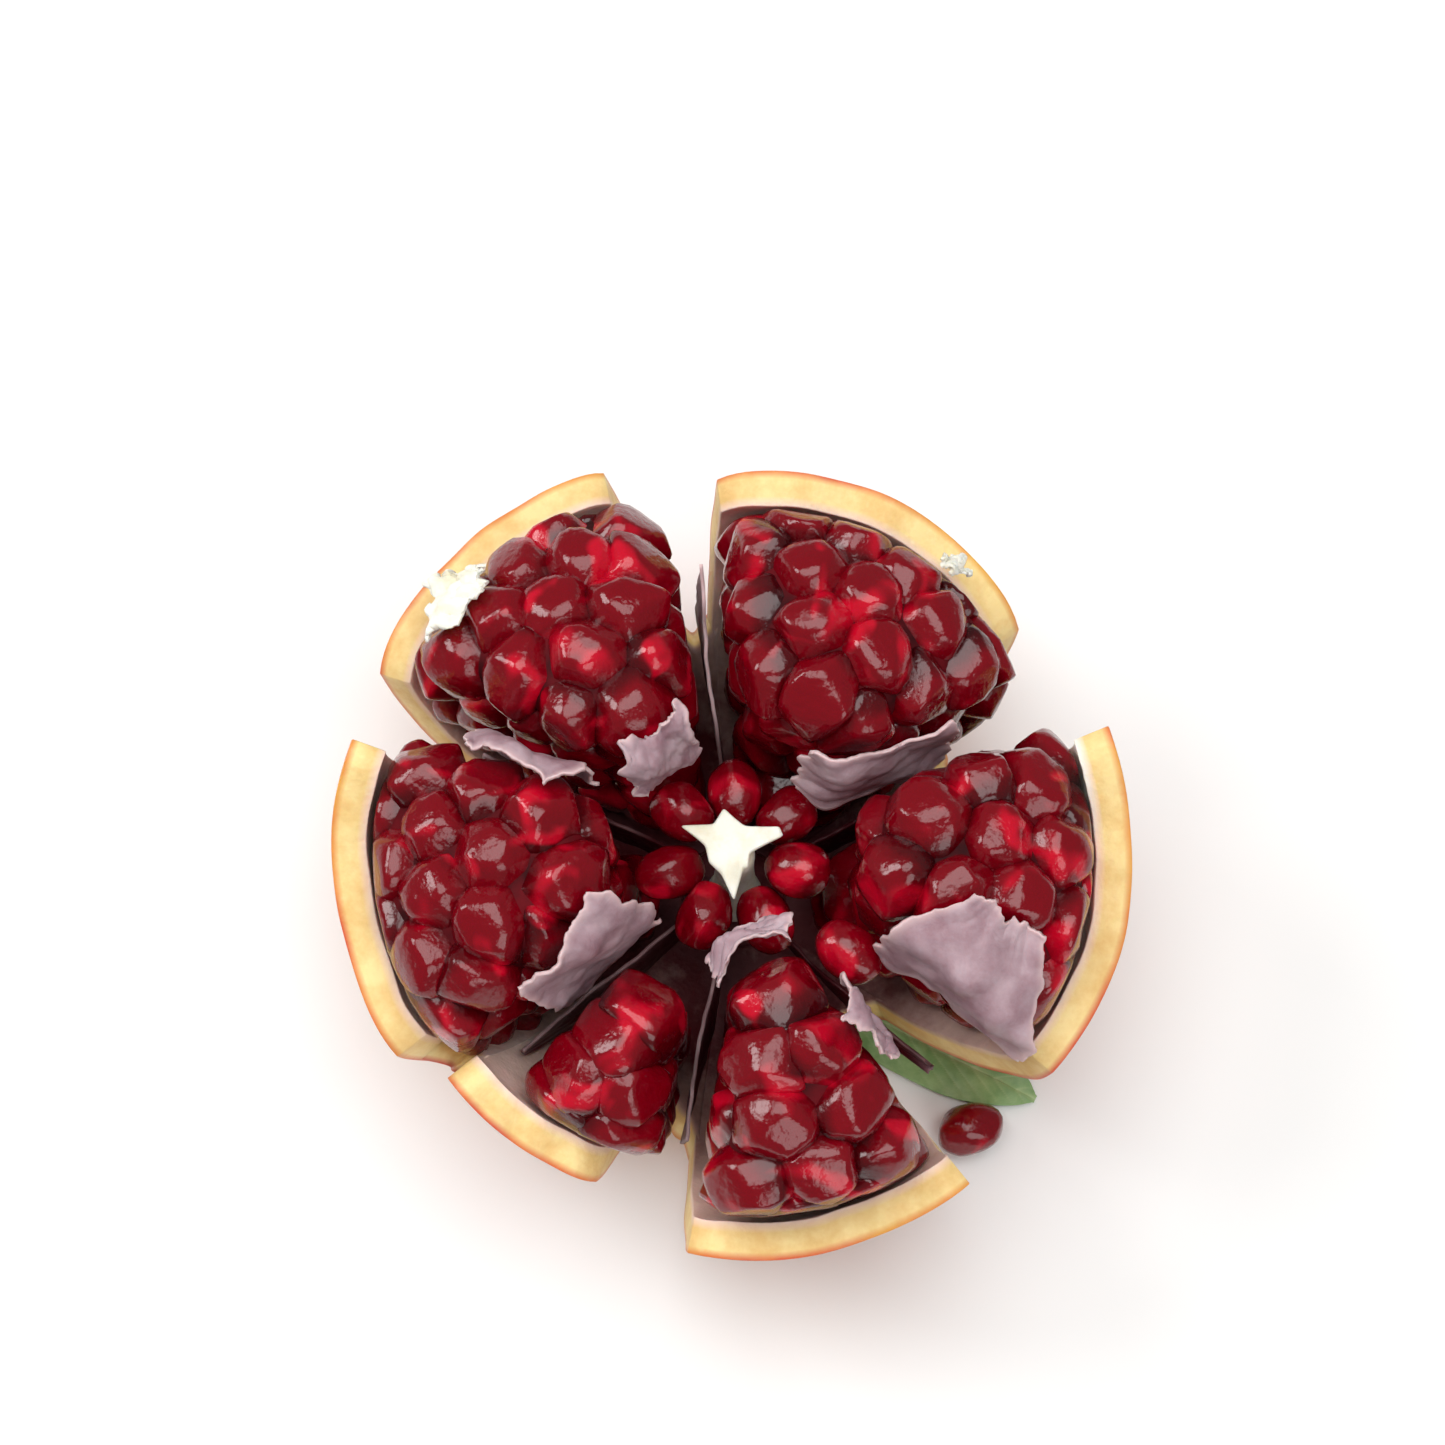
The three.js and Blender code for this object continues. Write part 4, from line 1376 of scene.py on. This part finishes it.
@dataclass(frozen=True)
class Sheet:
    """A torn sheet that lies over part of a chamber, seen from the chamber's heart (degrees, mm)."""

    node: str
    petal: str
    swing: tuple[float, float]
    rise: tuple[float, float]
    lift: tuple[float, float]
    seed: int
    bite: float = 0.16
    crumple: float = 0.55
    columns: int = 64
    rows: int = 40
    thickness: float = 0.5

    def build(self, chamber: Chamber, material: bpy.types.Material, slot: Slot) -> bpy.types.Object:
        """Builds the sheet.

        Args:
            chamber: The chamber that it lies over.
            material: Its finish.
            slot: Its material slot. Not used.

        Returns:
            The finished piece.
        """
        mesh = bmesh.new()
        bmesh.ops.create_grid(mesh, x_segments=self.columns, y_segments=self.rows, size=1.0)
        edge = mesh.verts.layers.float.new("edge")
        rays, stands = [], []
        for vert in mesh.verts:
            s, t = vert.co.x, vert.co.y
            vert[edge] = held((max(abs(s), abs(t)) - 0.86) / 0.14) ** 1.5
            across = torn_edge(s, t, self.seed + (0.3 if s > 0 else 0.7), self.bite)
            up = torn_edge(t, s, self.seed + (1.3 if t > 0 else 1.7), self.bite)
            angle = math.radians(self.swing[0] + self.swing[1] * across - chamber.petal.azimuth)
            climb = math.radians(min(86.0, self.rise[0] + self.rise[1] * up))
            rays.append(Vector((math.cos(angle), math.sin(angle), math.tan(climb))).normalized())
            wave = 0.45 * math.sin(4 * s + 3 * t + self.seed)
            crease = self.crumple * ripple(Vector((s * 3, t * 3, 0)), 1.0, self.seed)
            fine = 0.12 * ripple(Vector((s * 9, t * 8, 1)), 1.0, self.seed)
            stands.append(
                self.lift[0] + (self.lift[1] - self.lift[0]) * (up + 1) / 2 + wave + crease + fine
            )
        places = chamber.along(np.array(rays), np.array(stands))
        for vert, place in zip(mesh.verts, places):
            vert.co = place
        thicken(mesh, self.thickness)
        bmesh.ops.transform(mesh, matrix=chamber.petal.matrix(), verts=mesh.verts[:])
        return add_piece(mesh, "torn_" + self.node, material, [self.node])


SHEETS = [
    Sheet("membrane_left_above", "left", (58, 24), (25, 18), (1.9, 0.9), 5),
    Sheet("membrane_left_below", "left", (328, 24), (16, 22), (2.8, 1.0), 6),
    Sheet("membrane_right_below", "right", (241, 34), (40, 27), (1.8, 1.2), 7, crumple=1.0),
    Sheet("membrane_upper_right", "upper_right", (280, 30), (14, 17), (2.8, 1.0), 8, crumple=0.6),
    Sheet("membrane_upper_left", "upper_left", (306, 11), (12, 12), (2.2, 1.0), 9, bite=0.26),
    Sheet("membrane_lower_above", "lower", (66, 15), (28, 14), (2.0, 0.9), 10, bite=0.26),
    Sheet("membrane_lower_tip", "lower", (108, 12), (16, 3), (2.2, 1.0), 12),
]
PITH_SCRAPS = [
    Sheet("pith_scrap", "upper_left", (190, 25), (60, 15), (1.1, 1.9), 13, bite=0.4, crumple=0.8),
    Sheet("pith_chip", "upper_right", (17, 7), (52, 6), (0.6, 0.9), 14, bite=0.3, crumple=0.3),
]


@dataclass(frozen=True)
class Septum:
    """What is left of a wall between two chambers: an upright, torn sheet on their shared plane."""

    node: str
    azimuth: float
    seed: int
    at_rind: float = 0.74
    at_core: float = 0.62
    columns: int = 56
    rows: int = 30
    thickness: float = 0.5

    def build(self, material: bpy.types.Material) -> bpy.types.Object:
        """Builds the wall within its CAD node's box.

        Args:
            material: Its finish.

        Returns:
            The finished piece.
        """
        low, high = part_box(self.node)
        top = high.z / MM
        mesh = bmesh.new()
        bmesh.ops.create_grid(mesh, x_segments=self.columns, y_segments=self.rows, size=0.5)
        edge = mesh.verts.layers.float.new("edge")
        inner, outer = WELL_FLOOR_RADIUS, FRUIT_RADIUS - RIND_AT_FOOT
        for vert in mesh.verts:
            along, up = vert.co.x + 0.5, vert.co.y + 0.5
            vert[edge] = held((up - 0.85) / 0.15)
            share = self.at_core + (self.at_rind - self.at_core) * along
            tear = 0.06 * ripple(Vector((along * 9, 0, 0)), 1.0, self.seed)
            low_z = RIND_AT_FOOT + 2 + 16 * along**2
            high_z = max(low_z + 1, top * (share + tear))
            wave = 0.5 * math.sin(5 * along + 2 * up + self.seed) + 0.25 * ripple(
                Vector((along * 12, up * 6, 0)), 1.0, self.seed
            )
            vert.co = Vector((inner + (outer - inner) * along, wave, low_z + (high_z - low_z) * up))
        thicken(mesh, self.thickness)
        turn = Matrix.Rotation(math.radians(self.azimuth), 4, "Z")
        bmesh.ops.transform(mesh, matrix=turn, verts=mesh.verts[:])
        return add_piece(mesh, "torn_" + self.node, material, [self.node])


SEPTA = [
    Septum("septum_right", 25.5, 2),
    Septum("septum_upper_middle", 97.5, 3, at_rind=0.96, at_core=0.36),
    Septum("septum_upper_left", 156.5, 4),
    Septum("septum_left", 222.5, 5),
    Septum("septum_lower_left", 260.5, 6),
    Septum("septum_lower_right", 314.0, 7, at_rind=0.98),
]


# ---- Core, leaf and stem ----
@dataclass
class Core:
    """The white core: a stem that rises from the rind and ends in a torn star."""

    # Each tip and hollow of the star: its azimuth in degrees and its reach in millimetres.
    corners: tuple[tuple[float, float], ...] = (
        (14, 7.0), (26, 6.9), (64, 3.2), (106, 5.8), (134, 4.4), (158, 8.4), (178, 4.2),
        (212, 4.3), (244, 4.4), (269, 7.7), (290, 3.4), (301, 3.5), (336, 2.3),
    )
    star_thickness: float = 1.5
    star_rise: float = 1.2

    def build(self, material: bpy.types.Material) -> bpy.types.Object:
        """Builds the core.

        Args:
            material: Its finish.

        Returns:
            The finished piece.
        """
        mesh = bmesh.new()
        outline = [
            (0, RIND_AT_FOOT + SEAT_GAP), (CORE_FOOT_RADIUS, RIND_AT_FOOT + SEAT_GAP),
            (CORE_RADIUS, RIND_AT_FOOT + SEAT_GAP + 5), (CORE_RADIUS * 0.8, CORE_TOP - 6),
            (CORE_RADIUS, CORE_TOP - 1.5), (0, CORE_TOP - 1),
        ]
        verts = [mesh.verts.new((x, 0, z)) for x, z in outline]
        edges = [mesh.edges.new(pair) for pair in zip(verts, verts[1:])]
        bmesh.ops.spin(
            mesh, geom=verts + edges, cent=(0, 0, 0), axis=(0, 0, 1), angle=math.tau, steps=24,
            use_merge=True,
        )
        bmesh.ops.remove_doubles(mesh, verts=mesh.verts[:], dist=0.001)
        bmesh.ops.recalc_face_normals(mesh, faces=mesh.faces[:])
        pour(self.star(), mesh)
        return add_piece(mesh, "torn_core", material, ["core"], levels=2)

    def star(self) -> bmesh.types.BMesh:
        """Makes the torn star: a disc pulled out to its arms, domed, with drooping tips.

        Returns:
            The star in millimetres, at the top of the core.
        """
        mesh = bmesh.new()
        bmesh.ops.create_circle(mesh, cap_ends=True, segments=len(self.corners), radius=1.0)
        mesh.verts.ensure_lookup_table()
        for vert, (azimuth, reach) in zip(mesh.verts, self.corners):
            angle = math.radians(azimuth)
            vert.co = Vector((reach * math.cos(angle), reach * math.sin(angle), 0))
        middle = bmesh.ops.poke(mesh, faces=mesh.faces[:])["verts"][0]
        middle.co = Vector((0, 0.6, 0))
        bmesh.ops.subdivide_edges(mesh, edges=mesh.edges[:], cuts=3, use_grid_fill=True)
        for vert in mesh.verts:
            reach = math.hypot(vert.co.x, vert.co.y)
            vert.co.z = 1.4 - 0.012 * reach**2 + 0.7 * ripple(vert.co, 3.1, 21)
        bmesh.ops.recalc_face_normals(mesh, faces=mesh.faces[:])
        grown = bmesh.ops.extrude_face_region(mesh, geom=mesh.faces[:])["geom"]
        for vert in grown:
            if isinstance(vert, bmesh.types.BMVert):
                outwards = min(1.0, math.hypot(vert.co.x, vert.co.y) / 8)
                vert.co.z -= self.star_thickness * (1 - 0.6 * outwards)
        bmesh.ops.recalc_face_normals(mesh, faces=mesh.faces[:])
        bmesh.ops.translate(mesh, vec=(0, 0, CORE_TOP + self.star_rise), verts=mesh.verts[:])
        return mesh


@dataclass
class Leaf:
    """A fresh leaf that lies under the edge of the right petal, folded a little along its midrib."""

    length: float = 32.0
    width: float = 12.0
    thickness: float = 0.5
    turn: float = -27.0
    columns: int = 96
    rows: int = 48
    side_veins: int = 9
    arch: float = 0.5
    fold: float = 0.4

    def build(self, material: bpy.types.Material) -> bpy.types.Object:
        """Builds the leaf where its CAD node lies.

        Args:
            material: Its finish.

        Returns:
            The finished piece.
        """
        low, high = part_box("leaf")
        mesh = bmesh.new()
        bmesh.ops.create_grid(mesh, x_segments=self.columns, y_segments=self.rows, size=0.5)
        vein = mesh.verts.layers.float.new("vein")
        for vert in mesh.verts:
            along, across = vert.co.x + 0.5, 2 * vert.co.y
            width = max(0.08, (1 - abs(2 * along**0.8 - 1) ** 2.6) ** 0.75)
            side = self.side_veins * (along - 0.35 * abs(across) * width)
            rib = math.exp(-((across * width / 0.06) ** 2))
            lateral = math.exp(-(((side - round(side)) / 0.09) ** 2)) * (1 - abs(across)) ** 0.5
            vert[vein] = min(1.0, 0.75 * rib + 0.35 * lateral)
            arch = self.arch * math.sin(math.pi * along)
            fold = self.fold * abs(across) * width
            wave = 0.3 * math.sin(9 * along) + 0.25 * abs(across) * math.sin(17 * along)
            relief = -0.18 * rib - 0.1 * lateral
            vert.co = Vector((
                self.length * along,
                self.width / 2 * width * across,
                SEAT_GAP + 0.3 + arch + fold + wave + relief,
            ))
        thicken(mesh, self.thickness)
        turn = Matrix.Rotation(math.radians(self.turn), 4, "Z")
        bmesh.ops.transform(mesh, matrix=turn, verts=mesh.verts[:])
        spans = [[v.co[k] for v in mesh.verts] for k in range(2)]
        shift = [((low[k] + high[k]) / MM - min(spans[k]) - max(spans[k])) / 2 for k in range(2)]
        bmesh.ops.translate(mesh, vec=(*shift, 0), verts=mesh.verts[:])
        return add_piece(mesh, "veined_leaf", material, ["leaf"])


@dataclass
class Stem:
    """The dry stub of the stem in the flat foot."""

    sides: int = 28
    fluting: float = 0.04
    rim_rounding: float = 0.3

    def build(self, material: bpy.types.Material) -> bpy.types.Object:
        """Builds the stub within its CAD node's box.

        Args:
            material: Its finish.

        Returns:
            The finished piece.
        """
        low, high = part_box("stem")
        height = (high.z - low.z) / MM
        mesh = bmesh.new()
        bmesh.ops.create_cone(
            mesh, cap_ends=True, segments=self.sides, radius1=STEM_RADIUS * 0.96, radius2=STEM_RADIUS * 0.9,
            depth=height, matrix=Matrix.Translation((0, 0, (low.z + high.z) / 2 / MM)),
        )
        sides = [e for e in mesh.edges if abs(e.verts[0].co.z - e.verts[1].co.z) > height / 2]
        bmesh.ops.subdivide_edges(mesh, edges=sides, cuts=4)
        for vert in mesh.verts:
            drawn = Vector((vert.co.x * 2, vert.co.y * 2, vert.co.z * 0.3))
            flute = 1 + self.fluting * ripple(drawn, 1.2, 3)
            vert.co.x *= flute
            vert.co.y *= flute
        rims = [e for e in mesh.edges if e.calc_face_angle(0) > math.radians(60)]
        bmesh.ops.bevel(
            mesh, geom=rims, offset=self.rim_rounding, offset_type="OFFSET", segments=2, profile=0.5,
            affect="EDGES", clamp_overlap=True, material=-1,
        )
        return add_piece(mesh, "stem_stub", material, ["stem"])


# ---- Studio ----
@dataclass
class Studio:
    """A pale floor, soft lights and the camera that looks down on the fruit.

    Places and sizes are in metres, the elevation in degrees, the lens in millimetres and powers in watts.
    """

    camera_height: float = 0.44827
    camera_back: float = 0.0916
    camera_side: float = -0.001736
    elevation: float = 75.0
    lens: float = 75.3
    floor_half: float = 1.6
    aim_height: float = 0.03
    sky: str = "#FBFBFA"
    sky_strength: float = 0.22
    lights: list[tuple] = field(default_factory=lambda: [
        # Name, place, size and power: a soft ceiling, a window on the left and a low fill.
        ("ceiling", (0.04, 0.14, 0.9), 0.9, 7.0),
        ("window", (-0.5, 0.2, 0.5), 0.35, 2.2),
        ("fill", (0.3, -0.55, 0.5), 0.5, 1.7),
    ])

    def build(self) -> None:
        """Lays the floor, hangs the lights and sets the camera."""
        mesh = bmesh.new()
        bmesh.ops.create_grid(mesh, x_segments=1, y_segments=1, size=self.floor_half)
        data = bpy.data.meshes.new("studio_floor")
        mesh.to_mesh(data)
        mesh.free()
        data.materials.append(FloorFinish().material())
        floor = bpy.data.objects.new("studio_floor", data)
        bpy.context.scene.collection.objects.link(floor)
        target = Vector((0, 0, self.aim_height))
        for name, place, size, power in self.lights:
            lamp = bpy.data.lights.new(name, "AREA")
            lamp.shape = "DISK"
            lamp.size = size
            lamp.energy = power
            light = bpy.data.objects.new(name, lamp)
            light.location = place
            light.rotation_euler = (target - Vector(place)).to_track_quat("-Z", "Y").to_euler()
            bpy.context.scene.collection.objects.link(light)
        world = bpy.data.worlds.new("soft_daylight")
        world.use_nodes = True
        background = world.node_tree.nodes["Background"]
        background.inputs["Color"].default_value = linear(self.sky)
        background.inputs["Strength"].default_value = self.sky_strength
        bpy.context.scene.world = world
        optics = bpy.data.cameras.new("camera")
        optics.lens = self.lens
        optics.sensor_width = 36.0
        camera = bpy.data.objects.new("camera", optics)
        camera.location = (self.camera_side, -self.camera_back, self.camera_height)
        camera.rotation_euler = (math.radians(90 - self.elevation), 0, 0)
        bpy.context.scene.view_settings.view_transform = "Standard"
        bpy.context.scene.collection.objects.link(camera)
        bpy.context.scene.camera = camera
        LOG.info("studio ready")


def singles() -> list[SingleAril]:
    """The arils that stand free, with the azimuth that each one's wide end points to."""
    grows = (1.0, 0.98, 1.0, 1.02, 0.98, 1.0, 0.98)
    ring = [
        SingleAril(f"aril_by_core_{k + 1}", 193 + 360 / 7 * k, 100 + k, grow=grow)
        for k, grow in enumerate(grows)
    ]
    return ring + [
        SingleAril("aril_between_right_and_lower", -44, 120),
        SingleAril("loose_aril", 25, 121),
    ]


def main() -> None:
    """Builds every piece of the fruit, then the studio."""
    logging.basicConfig(level=logging.INFO, format="%(name)s %(message)s")
    aril = ArilFinish().material()
    # The painted shade behind the arils.
    deep = PaintedSeamShadeFinish().material()
    film = MembraneFinish().material()
    pith = PithFinish().material()
    chambers = {petal.name: Chamber(petal) for petal in PETALS}
    Rind().build(RindFinish().material())
    for chamber in chambers.values():
        ArilCluster(chamber).build(aril, deep)
    Core().build(pith)
    for single in singles():
        single.build(aril)
    for sheet in SHEETS:
        sheet.build(chambers[sheet.petal], film, Slot.MEMBRANE)
    for scrap in PITH_SCRAPS:
        scrap.build(chambers[scrap.petal], pith, Slot.PITH)
    for septum in SEPTA:
        septum.build(film)
    Leaf().build(LeafFinish().material())
    Stem().build(StemFinish().material())
    Studio().build()
    bpy.context.view_layer.update()


if __name__ == "__main__":
    main()
